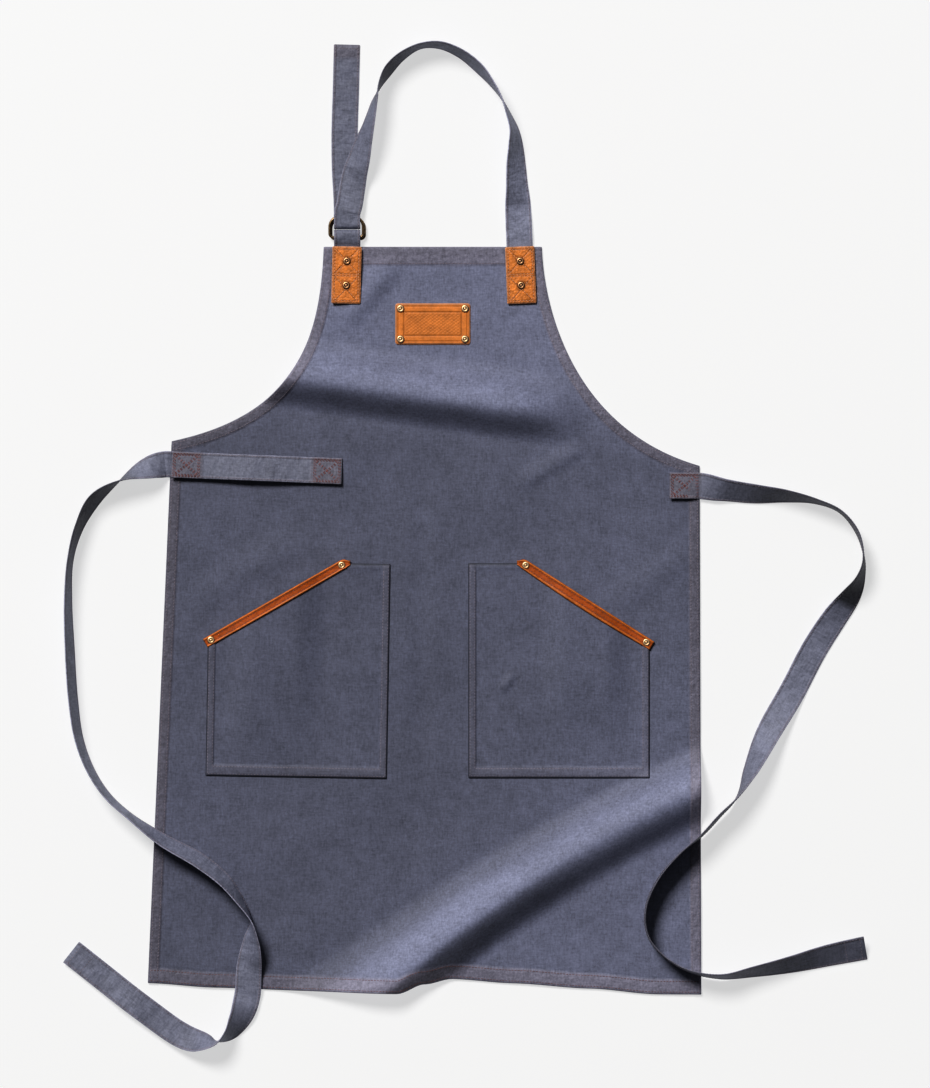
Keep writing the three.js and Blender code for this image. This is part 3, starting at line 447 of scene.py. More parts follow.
def tube(centres, outs, radius, sides):
    """A closed loop of round wire that lies level: circles in the planes of the out vectors and +Z."""
    turn = (np.arange(sides) * 2 * np.pi / sides)[None, :, None]
    points = centres[:, None] + radius * (np.cos(turn) * outs[:, None] + np.sin(turn) * UP)
    index = np.arange(len(centres) * sides).reshape(-1, sides)
    ahead = np.roll(index, -1, 0)
    faces = np.stack([index, ahead, np.roll(ahead, -1, 1), np.roll(index, -1, 1)], -1).reshape(-1, 4)
    uv = np.stack(np.broadcast_arrays(np.arange(len(centres))[:, None], turn[0].T), -1).reshape(-1, 2)
    return dict(points=points.reshape(-1, 3), faces=faces, uv=uv * 0.001, marks={})


def stitches(line, normals):
    """Stitches along a line: short bars of three stations, low at both ends and highest in the middle."""
    sizes = bpy.context.scene.apron_sizes
    line, normals = np.asarray(line, float), np.broadcast_to(normals, np.shape(line))
    run = run_along(line)
    pitch = sizes.stitch + sizes.stitch_gap
    count = max(1, int(run[-1] / pitch))
    starts = (np.arange(count) + 0.5) * run[-1] / count - sizes.stitch / 2
    stations = np.clip(starts[:, None] + np.linspace(0, 1, 3) * sizes.stitch, 0, run[-1])
    centre = np.stack([np.interp(stations, run, line[:, k]) for k in range(3)], -1)
    up = unit(np.stack([np.interp(stations, run, normals[:, k]) for k in range(3)], -1))
    across = np.cross(unit(centre[:, -1:] - centre[:, :1]), up)
    half = sizes.thread / 2 * np.array([0.7, 1, 0.7])[:, None]
    rise = sizes.thread * np.array([-0.25, 0.35, -0.25])[:, None]
    middle = centre + up * rise
    corners = [middle + across * half, middle + up * half, middle - across * half, middle - up * half]
    points = np.stack(corners, 2).reshape(-1, 3)
    index = np.arange(len(points)).reshape(count, 3, 4)
    a, b = index[:, :-1], index[:, 1:]
    side = np.stack([a, np.roll(a, -1, 2), np.roll(b, -1, 2), b], -1).reshape(-1, 4)
    faces = np.concatenate([side, index[:, 0, ::-1], index[:, -1]])
    return dict(points=points, faces=faces, uv=points[:, :2], marks={})


def make_piece(name, part, material, nodes=()):
    """A mesh at its place, with its finish, that rides on the body and stands for its nodes."""
    mesh = bpy.data.meshes.new(name)
    faces = part["faces"]
    triangles = faces[:, 2] == faces[:, 3]
    listed = faces[~triangles].tolist() + faces[triangles][:, :3].tolist()
    points = part["points"] + ORIGIN
    points[:, 2] = np.maximum(points[:, 2], 0.0)
    mesh.from_pydata(points.tolist(), [], listed)
    mesh.polygons.foreach_set("use_smooth", np.ones(len(mesh.polygons), dtype=bool))
    corner = np.empty(len(mesh.loops), dtype=np.int32)
    mesh.loops.foreach_get("vertex_index", corner)
    layer = mesh.uv_layers.new(name="Plan")
    layer.data.foreach_set("uv", part["uv"][corner].astype(np.float32).ravel())
    for mark, values in part["marks"].items():
        attribute = mesh.attributes.new(mark, "FLOAT", "POINT")
        attribute.data.foreach_set("value", values.astype(np.float32))
    mesh.materials.append(material)
    mesh.update()
    piece = bpy.data.objects.new(name, mesh)
    bpy.context.scene.collection.objects.link(piece)
    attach(piece, "root")
    if nodes:
        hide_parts(*nodes)
    return piece


def sewn(name, lines, kind, normals=None):
    """All stitches of one piece as a mesh, along lines with their normals, which point up unless given."""
    normals = normals or [UP] * len(lines)
    part = join([stitches(line, normal) for line, normal in zip(lines, normals)])
    return make_piece(name, part, finished(f"sewing_{kind}", thread_finish, kind))


# Finishes


class Value:
    """A socket that carries a number or a vector. Each operator on it adds a Math node."""

    def __init__(self, paint, socket):
        self.paint, self.socket = paint, socket

    def math(self, operation, *values):
        return self.paint.node("ShaderNodeMath", {"operation": operation}, dict(enumerate(values)))

    def __add__(self, other):
        return self.math("ADD", self, other)

    def __sub__(self, other):
        return self.math("SUBTRACT", self, other)

    def __rsub__(self, other):
        return self.math("SUBTRACT", other, self)

    def __mul__(self, other):
        return self.math("MULTIPLY", self, other)

    __radd__ = __add__
    __rmul__ = __mul__

    def step(self, low, high):
        """0 at low, 1 at high and smooth between."""
        settings = {"interpolation_type": "SMOOTHSTEP"}
        sockets = {"Value": self, "From Min": low, "From Max": high}
        return self.paint.node("ShaderNodeMapRange", settings, sockets)

    def sine(self):
        return self.math("SINE", self)


class Paint:
    """A material's node tree, and one method that adds any node to it."""

    def __init__(self, name):
        self.material = bpy.data.materials.new(name)
        self.material.use_nodes = True
        self.tree = self.material.node_tree
        self.tree.nodes.clear()

    def node(self, kind, settings=None, sockets=None, output=0):
        """A node of a kind, with its settings first and then its sockets' values or links."""
        made = self.tree.nodes.new(kind)
        for key, value in (settings or {}).items():
            setattr(made, key, value)
        for key, value in (sockets or {}).items():
            if isinstance(value, Value):
                self.tree.links.new(value.socket, made.inputs[key])
            else:
                made.inputs[key].default_value = value
        return Value(self, made.outputs[output]) if made.outputs else None

    def place(self):
        return self.node("ShaderNodeTexCoord", output="Object")

    def plan(self):
        return self.node("ShaderNodeUVMap", {"uv_map": "Plan"})

    def mark(self, name):
        return self.node("ShaderNodeAttribute", {"attribute_name": name}, output="Fac")

    def split(self, vector):
        parts = self.node("ShaderNodeSeparateXYZ", None, {0: vector})
        return [Value(self, socket) for socket in parts.socket.node.outputs]

    def stretched(self, vector, scale):
        return self.node("ShaderNodeVectorMath", {"operation": "MULTIPLY"}, {0: vector, 1: scale})

    def noise(self, vector, size, detail=2.0, rough=0.5):
        """Noise with features of about the size given, from 0 to 1."""
        sockets = {"Vector": vector, "Scale": 1 / size, "Detail": detail, "Roughness": rough}
        return self.node("ShaderNodeTexNoise", None, sockets)

    def cells(self, vector, size):
        """The distance to the nearest cell point, for pebbled grain."""
        return self.node("ShaderNodeTexVoronoi", None, {"Vector": vector, "Scale": 1 / size})

    def blend(self, share, a, b):
        """A colour between a and b."""
        sockets = {0: share, 6: (*a, 1.0), 7: (*b, 1.0)}
        return self.node("ShaderNodeMix", {"data_type": "RGBA"}, sockets, output=2)

    def toned(self, hue, tone):
        """A colour made lighter or darker by a number."""
        return self.node("ShaderNodeVectorMath", {"operation": "SCALE"}, {0: hue, "Scale": tone})

    def bump(self, height, depth, strength, normal=None):
        sockets = {"Height": height, "Distance": depth, "Strength": strength}
        if normal:
            sockets["Normal"] = normal
        return self.node("ShaderNodeBump", None, sockets)

    def finish(self, **sockets):
        """The surface, from the names of its sockets in lower case, such as base_color."""
        named = {key.replace("_", " ").title().replace("Ior", "IOR"): value for key, value in sockets.items()}
        shader = self.node("ShaderNodeBsdfPrincipled", None, named)
        self.node("ShaderNodeOutputMaterial", None, {"Surface": shader})
        return self.material


def finished(name, paint_on, *details):
    """The material of a name, painted at its first use."""
    return bpy.data.materials.get(name) or paint_on(Paint(name), *details)


WEAVE_BUMP = (0.00022, 0.55)


def weave(paint, vector):
    """The tone of the yarns, streaks along both directions and a fine mottle, and the height of the weave."""
    pitch = bpy.context.scene.apron_sizes.weave
    warp = paint.noise(paint.stretched(vector, (1.0, 0.2, 1.0)), 0.002, 2.0, 0.6)
    weft = paint.noise(paint.stretched(vector, (0.2, 1.0, 1.0)), 0.002, 2.0, 0.6)
    mottle = paint.noise(vector, 0.003, 3.0, 0.75)
    cloud = paint.noise(vector, 0.022, 3.0, 0.6)
    x, y, _ = paint.split(vector)
    over = (x * (2 * np.pi / pitch)).sine() * (y * (2 * np.pi / pitch)).sine()
    tone = 1.0 + (warp - 0.5) * 0.65 + (weft - 0.5) * 0.55 + (mottle - 0.5) * 0.95 + (cloud - 0.5) * 0.5
    height = over * 0.35 + (warp + weft) * 0.9 + mottle * 0.8
    return tone, height


# Where the body's canvas changes, in the model's frame
# The first is where the bib gets painted light, the next two where the canvas grows lighter towards the lower
# right and the right
BIB_PAINTED_LIGHT = (0.11, 0.24)
LOW_RIGHT_LIGHTER = (0.2, 0.5)
RIGHT_LIGHTER = (-0.1, 0.25)
LOWER_HEM_BELOW = (-0.53, -0.49)
TOP_HEM_ABOVE = (0.35, 0.358)
FOOT_ENDS = (-0.3, -0.02)


def canvas_finish(paint):
    """The body's canvas: painted light on the bib, lighter towards the lower right and the right, dusty and
    rosy along its hems.

    The crests of its folds carry painted highlight, most of all towards the lower left, and their sides that
    fall to the lower right carry painted shade.
    """
    colours = bpy.context.scene.apron_colours
    spot = paint.place()
    x, y, _ = paint.split(spot)
    tone, height = weave(paint, spot)
    hem, crest = paint.mark("hem"), paint.mark("crest")
    cloud = paint.noise(spot, 0.12, 3.0)
    bib = (y + x * 0.11).step(*BIB_PAINTED_LIGHT)
    low = (x * 0.62 - y * 0.8).step(*LOW_RIGHT_LIGHTER)
    # painted light: the bib lighter, standing in for more light there; the canvas also lighter towards the
    # lower right and the right side, times a slow random tone
    painted_light_and_tone = (0.9 + bib * 0.52 + low * 0.31 + x.step(*RIGHT_LIGHTER) * 0.12) * (0.85 + cloud * 0.3)
    low_hem = (1.0 - y.step(*LOWER_HEM_BELOW)) * hem
    top_hem = y.step(*TOP_HEM_ABOVE) * hem
    foot = 1.0 - (x * 0.84 + y * 0.54).step(*FOOT_ENDS)
    speckle = (paint.noise(spot, 0.004, 3.0, 0.75) - 0.5) * hem
    # rubbed holds the hems' own tones and speckle, plus painted highlight on fold crests (more towards the
    # lower left by foot) and painted shade on their lower right sides
    rubbed = 1.0 + low_hem * 0.22 - top_hem * 0.1 + crest * (0.28 + foot * 0.36) + speckle * 0.9
    dusty = paint.blend(hem * 0.65, colours.canvas, colours.hem)
    # the rim mark is painted shade: it darkens the pocket's edges where they meet the body
    shade = paint.toned(dusty, tone * painted_light_and_tone * rubbed * (1.0 - paint.mark("rim") * 0.45))
    normal = paint.bump(height, *WEAVE_BUMP)
    normal = paint.bump(paint.noise(spot, 0.0065, 2.0) * hem, 0.0014, 0.7, normal)
    return paint.finish(base_color=shade, roughness=0.6, normal=normal, specular_ior_level=0.5)


def strap_finish(paint):
    """Doubled canvas, lighter than the body, rosy along its stitched edges and over its sewn ends."""
    colours = bpy.context.scene.apron_colours
    plan = paint.plan()
    tone, height = weave(paint, plan)
    edge, sewn_ends = paint.mark("edge"), paint.mark("hem")
    hue = paint.blend(edge * 0.35 + sewn_ends * 0.6, colours.strap, colours.hem)
    cloud = 0.76 + paint.noise(plan, 0.014, 3.0, 0.6) * 0.48
    rim = 1.0 + paint.mark("rim") * 0.6
    # the worn mark is painted light and shade along the strap, lighter where it faces the light and darker
    # where it faces away
    shade = paint.toned(hue, tone * cloud * rim * paint.mark("worn"))
    pucker = paint.noise(plan, 0.005, 2.0) * (edge + sewn_ends)
    crumple = paint.noise(paint.stretched(plan, (0.6, 1.0, 1.0)), 0.013, 2.0)
    normal = paint.bump(height, *WEAVE_BUMP)
    normal = paint.bump(pucker, 0.0012, 0.6, normal)
    normal = paint.bump(crumple, 0.0038, 0.6, normal)
    return paint.finish(base_color=shade, roughness=0.6, normal=normal, specular_ior_level=0.5)


def thread_finish(paint, kind):
    """Matt thread with a faint twist, in one of the apron's thread colours."""
    spot = paint.place()
    fade = paint.noise(spot, 0.012, 2.0)
    shade = paint.toned(tuple(getattr(bpy.context.scene.apron_colours, kind)), 0.6 + fade * 0.8)
    normal = paint.bump(paint.noise(spot, 0.0006), 0.0001, 0.5)
    return paint.finish(base_color=shade, roughness=0.7, normal=normal, specular_ior_level=0.3)


def leather_finish(paint, dye, rubbed, pebble, depth, wear):
    """Leather: pebbled or smooth grain, cloudy dye, dark in its tooled lines and rubbed at its edges."""
    colours = bpy.context.scene.apron_colours
    spot = paint.place()
    grain = paint.cells(spot, pebble)
    cloud = paint.noise(spot, 0.011, 4.0, 0.65)
    fleck = paint.noise(spot, 0.0017, 3.0, 0.7)
    blotch = paint.noise(spot, 0.0052, 2.0, 0.6)
    hue = paint.blend(paint.mark("edge"), getattr(colours, dye), getattr(colours, rubbed))
    spots = (fleck - 0.5) * wear + (0.4 - grain) * wear * 0.5 + (blotch - 0.5) * wear * 1.1
    # the tooled mark also holds painted edge shade just inside the edges of the badge and tabs
    tone = (1.0 + (cloud - 0.5) * 0.9 + spots) * (1.0 - paint.mark("tooled") * 0.5)
    normal = paint.bump((1.0 - grain) * 0.9 + fleck * 0.5 + blotch * 1.1, depth, 0.9)
    return paint.finish(base_color=paint.toned(hue, tone), roughness=0.46 + cloud * 0.15, normal=normal,
                        specular_ior_level=0.4)


def metal_finish(paint, metal, shine, patina_share):
    """Old brass: bright where it is rubbed, dark in its grooves."""
    colours = bpy.context.scene.apron_colours
    spot = paint.place()
    stain = paint.noise(spot, 0.0025, 3.0, 0.6)
    dark = (paint.mark("groove") + (stain - 0.5) * 0.5 + patina_share).step(0.25, 1.0)
    hue = paint.blend(dark, getattr(colours, metal), colours.patina)
    normal = paint.bump(paint.noise(spot, 0.0009, 2.0), 0.00006, 0.5)
    return paint.finish(base_color=hue, metallic=1.0, roughness=shine + stain * 0.15, normal=normal)


# Body


def edge_steps(hem):
    """Distances from an edge, close together where its hem swells and steps down."""
    return np.r_[0, 0.13, 0.27, 0.45, 0.65, 0.85, 1.0, 1.08, 1.18, 1.35, 1.6] * hem


# Rows up the straight sides and up the armholes, columns across, and the length of an armhole's curve
STRAIGHT_ROWS = 148
ARMHOLE_ROWS = 84
BODY_COLUMNS = 140
ARMHOLE_RUN = 0.34


# A fold gets painted shade where it falls by SHADE_FALL over SHADE_STEP, but not in the lower right corner,
# and it gets painted highlight from CREST_FROM upwards
SHADE_STEP = (0.004, -0.006)
SHADE_FALL = 0.005
CORNER_FROM = 0.10
CORNER_WIDTH = 0.14
CREST_FROM = 0.004
CREST_RISE = 0.016


def fold_light_and_shade(x, y):
    """Painted highlight on raised folds, and painted shade where they fall towards the lower right."""
    height = relief(x, y)
    corner = smooth((x - CORNER_FROM) / CORNER_WIDTH) * (y < BODY_LENGTH / 2)
    falling = smooth((height - relief(x + SHADE_STEP[0], y + SHADE_STEP[1])) / SHADE_FALL) * (1 - corner)
    return smooth((height - CREST_FROM) / CREST_RISE) * (1 - falling) - 0.35 * falling


def make_body():
    """A grid from side to side and from the lower edge to the bib, fine along its hems."""
    straight = BODY_LENGTH - (SIDES["left"]["armhole"] + SIDES["right"]["armhole"]) / 2
    low, high = edge_steps(LOWER_HEM) / straight, edge_steps(TOP_HEM) / ARMHOLE_RUN
    armhole = np.linspace(1, 2 - high[-1], ARMHOLE_ROWS)[1:-1]
    place = np.r_[low, np.linspace(low[-1], 1, STRAIGHT_ROWS)[1:], armhole, 2 - high[::-1]]
    width = np.linalg.norm(side_point("left", place) - side_point("right", place), axis=1)[:, None]
    hem = edge_steps(SIDE_HEM)[None] / width
    inner = hem[:, -1:] + (1 - 2 * hem[:, -1:]) * np.linspace(0, 1, BODY_COLUMNS)[None, 1:-1]
    along = np.concatenate([hem, inner, 1 - hem[:, ::-1]], 1)
    x, y = body_point(along, np.broadcast_to(place[:, None], along.shape))
    distances = edge_distances(x, y)
    hemmed = np.maximum.reduce([hem_share(*row) for row in zip(distances, HEMS, HEM_SOFT)])
    z = cloth_height(x, y) + hem_swelling(distances)
    top = np.stack([x, y, z], -1)
    bottom = np.stack([x, y, np.maximum(z - (CLOTH_WALL + HEM_EXTRA * hemmed), FLOOR_GAP)], -1)
    marks = {"hem": hemmed, "crest": fold_light_and_shade(x, y)}
    part = wall(top, bottom, np.stack([x, y], -1), marks, bulge=0.0006)
    piece = make_piece("body_cloth", part, finished("faded_canvas", canvas_finish), ["apron_body"])
    sew_body()


def inner_line(line, inset):
    """A line moved sideways to its left by an inset, between points along it."""
    ahead = unit(np.gradient(line, axis=0))
    return line + inset * np.stack([-ahead[:, 1], ahead[:, 0]], -1)


def on_cloth(line):
    """Points of a flat line on the body's front and its hems."""
    x, y = line[:, 0], line[:, 1]
    return np.stack([x, y, cloth_height(x, y) + hem_swelling(edge_distances(x, y))], -1)


def sew_body():
    """Two stitch lines in the side hems and the lower hem, and one in the top hem."""
    fine = {name: side_point(name, np.linspace(0.002, 1.998, 900)) for name in SIDES}
    low = np.stack(body_point(np.linspace(0.003, 0.997, 400), np.zeros(400)), -1)
    half = BIB_WIDTH / 2 - 0.003
    high = np.stack([np.linspace(-half, half, 120), np.full(120, BODY_LENGTH)], -1)
    lines = [inner_line(fine[name], SIDES[name]["sign"] * inset) for inset in SIDE_STITCHES for name in SIDES]
    lines.append(inner_line(high, -TOP_STITCH))
    sewn("body_side_stitches", [on_cloth(line) for line in lines], "pale_thread")
    sewn("body_lower_stitches", [on_cloth(inner_line(low, inset)) for inset in LOWER_STITCHES], "thread")


# Pockets

# across and up place the inner lower corner as shares of BODY_WIDTH and BODY_LENGTH, turn is in degrees, top
# is the level edge as a share of POCKET_TOP, and sag is that of the trim
POCKETS = {
    "left": dict(sign=-1, across=0.084, up=0.285, turn=-1, top=0.92, sag=0.0005),
    "right": dict(sign=1, across=0.065, up=0.286, turn=0, top=1.085, sag=0.0022),
}
RIVET_INSET = 0.0034
RIVET_BELOW_TOP = 0.002
EDGE_OVER_RIVETS = 0.005
PEAK_WIDTH = 0.004
POCKET_HEM = 0.0125
POCKET_SIDE_HEM = 0.0085
MOUTH_OUT = POCKET_WIDTH - RIVET_INSET
MOUTH_REST = 0.1
MOUTH_SLACK = 0.32
GAPE_DEPTH = 0.75
POCKET_FOLD = 0.0009
DIMPLE = dict(start=(0.121, 0.398), end=(0.149, 0.429), bow=0, rise=0.07, above=0.2, below=0.16,
              fade=(0.4, 0.4))
# Insets of the two stitch lines, from the lower edge and from the sides
POCKET_STITCHES = ((0.002, 0.0016), (POCKET_HEM - 0.0015, POCKET_SIDE_HEM - 0.001))
# Columns and rows between the hems, and about how high the pocket is for its lower hem's rows
POCKET_STEPS = 84
POCKET_MEAN = 0.2
# Shares of the trim's half width: where its edges are rolled, where its channels are, and their widths
TRIM_ROLL, ROLL_WIDTH = 0.78, 0.2
TRIM_CHANNEL, CHANNEL_WIDTH = 0.42, 0.12
TRIM_BEND = 0.006


def pocket_place(pocket, across, up):
    """A pocket's own place, across from its inner edge and up from its lower edge, on the body's plan."""
    turn = np.radians(pocket["turn"])
    x = pocket["sign"] * across
    return (pocket["sign"] * pocket["across"] * BODY_WIDTH + x * np.cos(turn) - up * np.sin(turn),
            pocket["up"] * BODY_LENGTH + x * np.sin(turn) + up * np.cos(turn))


def mouth_in(pocket):
    return POCKET_TOP * pocket["top"]


def mouth_share(pocket, across):
    return (MOUTH_OUT - across) / (MOUTH_OUT - mouth_in(pocket))


def mouth_line(pocket, across):
    """The straight line through both rivets."""
    return mix(POCKET_SIDE, POCKET_HEIGHT - RIVET_BELOW_TOP, mouth_share(pocket, across))


def pocket_gape(pocket, across, up):
    """The gape times smooth steps in from both rivets and up from the lower edge."""
    place = np.clip((mouth_share(pocket, across) - MOUTH_REST) / (1 - 2 * MOUTH_REST), 0, 1)
    along = smooth(place / MOUTH_SLACK) * smooth((1 - place) / MOUTH_SLACK)
    return POCKET_GAPE * along * smooth(up / (mouth_line(pocket, across) * GAPE_DEPTH))


def pocket_foot(pocket, across, up):
    """Places on the underside of the pocket: on the body's front, lifted by the gape."""
    x, y = pocket_place(pocket, across, up)
    z = cloth_height(x, y) + SEAM + pocket_gape(pocket, across, up) + ridge(x, y, DIMPLE)
    return np.stack([x, y, z], -1)


def pocket_top_edge(pocket, across):
    """The slanted mouth a little above its rivets, and the level top edge beyond its peak."""
    edge = mouth_line(pocket, across) + EDGE_OVER_RIVETS
    past = smooth((mouth_in(pocket) - PEAK_WIDTH - across) / PEAK_WIDTH)
    return mix(np.minimum(edge, POCKET_HEIGHT + 0.006), POCKET_HEIGHT, past)


def make_pocket(side):
    """A grid across and up the pocket, swollen where its edges are folded under, with two stitch lines.

    rim is painted shade: a dark line where its edges meet the body.
    """
    pocket = POCKETS[side]
    steps, side_steps = edge_steps(POCKET_HEM), edge_steps(POCKET_SIDE_HEM)
    middle = np.linspace(side_steps[-1], POCKET_WIDTH - side_steps[-1], POCKET_STEPS)[1:-1]
    across = np.r_[side_steps, middle, POCKET_WIDTH - side_steps[::-1]]
    share = np.r_[steps / POCKET_MEAN, np.linspace(steps[-1] / POCKET_MEAN, 1, POCKET_STEPS)[1:]]
    across, share = np.meshgrid(across, share)
    up = share * pocket_top_edge(pocket, across)
    foot = pocket_foot(pocket, across, up)
    widened = POCKET_HEM / POCKET_SIDE_HEM
    nearest = np.minimum.reduce([across * widened, (POCKET_WIDTH - across) * widened, up])
    high = pocket_top_edge(pocket, across) - up
    edge = np.minimum(nearest, high)
    fold = hem_share(nearest, POCKET_HEM)
    lift = puff(nearest, POCKET_HEM, 0.0003) + POCKET_FOLD * np.maximum(fold, 1 - smooth(high / 0.012))
    top = raised(foot, CLOTH_WALL + lift * np.sqrt(smooth(edge / 0.0012)))
    marks = {"hem": fold * 0.4, "rim": 1.6 * (1 - smooth(edge / 0.0022))}
    part = wall(top, foot, np.stack([across, up], -1), marks, bulge=0.0005, flip=pocket["sign"] < 0)
    canvas = finished("faded_canvas", canvas_finish)
    piece = make_piece(f"pocket_cloth_{side}", part, canvas, [f"pocket_{side}"])
    lines = []
    for low, inset in POCKET_STITCHES:
        out = POCKET_WIDTH - inset
        corners = [(out, POCKET_SIDE - 0.006), (out, low), (inset, low), (inset, POCKET_HEIGHT - inset)]
        for a, b in zip(corners[:-1], corners[1:]):
            across, up = np.linspace(a, b, 150).T
            lines.append(raised(pocket_foot(pocket, across, up), CLOTH_WALL + POCKET_FOLD))
    sewn(f"pocket_stitches_{side}", lines, "pale_thread")


def trim_line(pocket):
    """The slope of the line through a pocket's rivets, and the distance between them."""
    out = MOUTH_OUT - mouth_in(pocket)
    slope = np.arctan((POCKET_HEIGHT - RIVET_BELOW_TOP - POCKET_SIDE) / out)
    return slope, out / np.cos(slope)


def trim_foot(pocket, run, reach):
    """Places under a trim, by the run from its outer rivet and the reach across, -1 to 1 upwards.

    Past the inner rivet it bends level and narrows to half. Between the rivets its lower edge sags by half a
    sine wave.
    """
    slope, length = trim_line(pocket)
    along, past = np.minimum(run, length), np.maximum(run - length, 0)
    bend = slope * smooth(past / TRIM_BEND)
    across = MOUTH_OUT - along * np.cos(slope) - past * np.cos(slope - bend / 2)
    up = POCKET_SIDE + along * np.sin(slope) + past * np.sin(slope - bend / 2)
    sag = pocket["sag"] * np.sin(np.pi * np.clip(run / length, 0, 1))
    taper = 1 - 0.5 * smooth((past - 0.003) / 0.007)
    wide = reach * (TRIM_WIDTH / 2 * taper + np.where(reach < 0, sag, 0))
    across = across + wide * np.sin(slope - bend)
    up = up + wide * np.cos(slope - bend)
    points = pocket_foot(pocket, across, np.minimum(up, mouth_line(pocket, across)))
    points[..., 0], points[..., 1] = pocket_place(pocket, across, up)
    return raised(points, CLOTH_WALL + SEAM)


def make_trim(side):
    """A strip along the rivets' line: two rolled edges and, between them, two dark channels of stitches."""
    pocket = POCKETS[side]
    length = trim_line(pocket)[1]
    run = np.linspace(-TRIM_PAST_OUTER, length + TRIM_PAST_INNER, 150)
    run, reach = np.meshgrid(run, np.linspace(-1, 1, 29))
    base = trim_foot(pocket, run, reach)
    ends = np.minimum(run + TRIM_PAST_OUTER, length + TRIM_PAST_INNER - run)
    rolled = bell(np.abs(reach) - TRIM_ROLL, ROLL_WIDTH)
    fall = (1 - smooth((1 - np.abs(reach)) / 0.22)) * 0.0008 + (1 - smooth(ends / 0.0018)) * 0.0006
    top = raised(base, LEATHER_WALL - 0.0004 + 0.0009 * rolled - fall)
    marks = {"edge": np.clip(rolled * 1.1 - 0.1, 0, 1) * 0.6 + 0.2 * (1 - smooth(ends / 0.003)),
             "tooled": bell(np.abs(reach) - TRIM_CHANNEL, CHANNEL_WIDTH) * 0.4}
    uv = np.stack([run, reach * TRIM_WIDTH / 2], -1)
    part = wall(top, base, uv, marks, bulge=0.0003, flip=pocket["sign"] < 0)
    finish = finished("trim_leather", leather_finish, "trim", "leather", 0.0018, 0.0003, 0.5)
    make_piece(f"trim_leather_{side}", part, finish, [f"pocket_trim_{side}"])
    runs = np.linspace(0.008, length - 0.008, 120)
    lines = [trim_foot(pocket, runs, np.full(120, line)) for line in (-TRIM_CHANNEL, TRIM_CHANNEL)]
    sewn(f"trim_stitches_{side}", [raised(line, LEATHER_WALL - 0.0003) for line in lines], "thread")


# Leather plates

PLATE_STEP = 0.0005
BADGE_RIVET = 0.0062
BEVEL = 0.0022
BEVEL_DROP = 0.0008
BADGE_BORDERS = (0.0034, 0.0105)
LATTICE_INSET = 0.0118
LATTICE_PITCH = 0.0052
LATTICE_SLANT = 1.35
TAB_OVERHANG = 0.0005
TAB_STITCH = 0.003
TAB_MIDDLE = 0.0012
TAB_RIVET_TOP = 0.0175
TAB_RIVET_SPACING = 0.0295
RIVET_ROUND = 0.0058
SEWN_UNDER_TAB = TAB_LENGTH - 0.006
# The middle of each tab's top, its turn in degrees and the layers of strap under it
TABS = {
    "left": dict(x=-0.394 * BIB_WIDTH, turn=-1.3, layers=2),
    "right": dict(x=0.4 * BIB_WIDTH, turn=2.2, layers=1),
}


def plate(width, height, corner, tooling):
    """A square grid whose corners are drawn in to arcs, with a rounded edge and tooled lines.

    tooling takes the places across and up and returns how deep and how dark each place is tooled.
    """
    x = np.linspace(-width / 2, width / 2, int(width / PLATE_STEP) + 1)
    y = np.linspace(-height / 2, height / 2, int(height / PLATE_STEP) + 1)
    x, y = np.meshgrid(x, y)
    inset = np.minimum(width / 2 - np.abs(x), height / 2 - np.abs(y))
    dx, dy = np.abs(x) - (width / 2 - corner), np.abs(y) - (height / 2 - corner)
    inside = (dx > 0) & (dy > 0)
    drawn = np.where(inside, np.maximum(dx, dy) / np.maximum(np.hypot(dx, dy), 1e-9), 1.0)
    px = np.where(inside, np.sign(x) * (width / 2 - corner + dx * drawn), x)
    py = np.where(inside, np.sign(y) * (height / 2 - corner + dy * drawn), y)
    depth, dark = tooling(x, y, inset)
    top = LEATHER_WALL - BEVEL_DROP * (1 - smooth(inset / BEVEL)) - depth
    edge = 0.5 * (1 - smooth((inset - 0.0006) / 0.0012))
    # rim is painted shade: a thin dark line just inside the edge, carried in the tooled mark
    rim = smooth(inset / 0.0006) * (1 - smooth((inset - 0.0012) / 0.001))
    return px, py, top, {"edge": edge, "tooled": np.maximum(dark, rim * 0.75)}


def placed(px, py, z, centre, turn):
    """Points turned about Z and moved to a centre."""
    c, s = np.cos(np.radians(turn)), np.sin(np.radians(turn))
    return np.stack([centre[0] + px * c - py * s, centre[1] + px * s + py * c, z], -1)


def make_plate(name, node, size, corner, tooling, foot, centre, turn, finish):
    """A plate of leather that lies on a height, turned about its centre."""
    px, py, top, marks = plate(*size, corner, tooling)
    upper, lower = (placed(px, py, foot + rise, centre, turn) for rise in (top, np.zeros_like(px)))
    part = wall(upper, lower, np.stack([px, py], -1), marks, bulge=0.0003)
    make_piece(name, part, finish, [node])


def badge_tooling(x, y, inset):
    """A double pressed border and, inside it, a plain lattice of slanting lines."""
    outer, inner = bell(inset - BADGE_BORDERS[0], 0.0008), bell(inset - BADGE_BORDERS[1], 0.001)
    field = smooth((inset - LATTICE_INSET) / 0.0008)
    slants = [(x + k * y * LATTICE_SLANT) / LATTICE_PITCH + 0.5 for k in (-1, 1)]
    lattice = np.maximum(*[bell((slant % 1 - 0.5) * LATTICE_PITCH, 0.00055) for slant in slants]) * field
    depth = 0.0006 * outer + 0.0007 * inner + 0.0003 * lattice
    return depth, np.clip(outer * 0.5 + inner * 0.7 + lattice * 0.3 + field * 0.12, 0, 1)


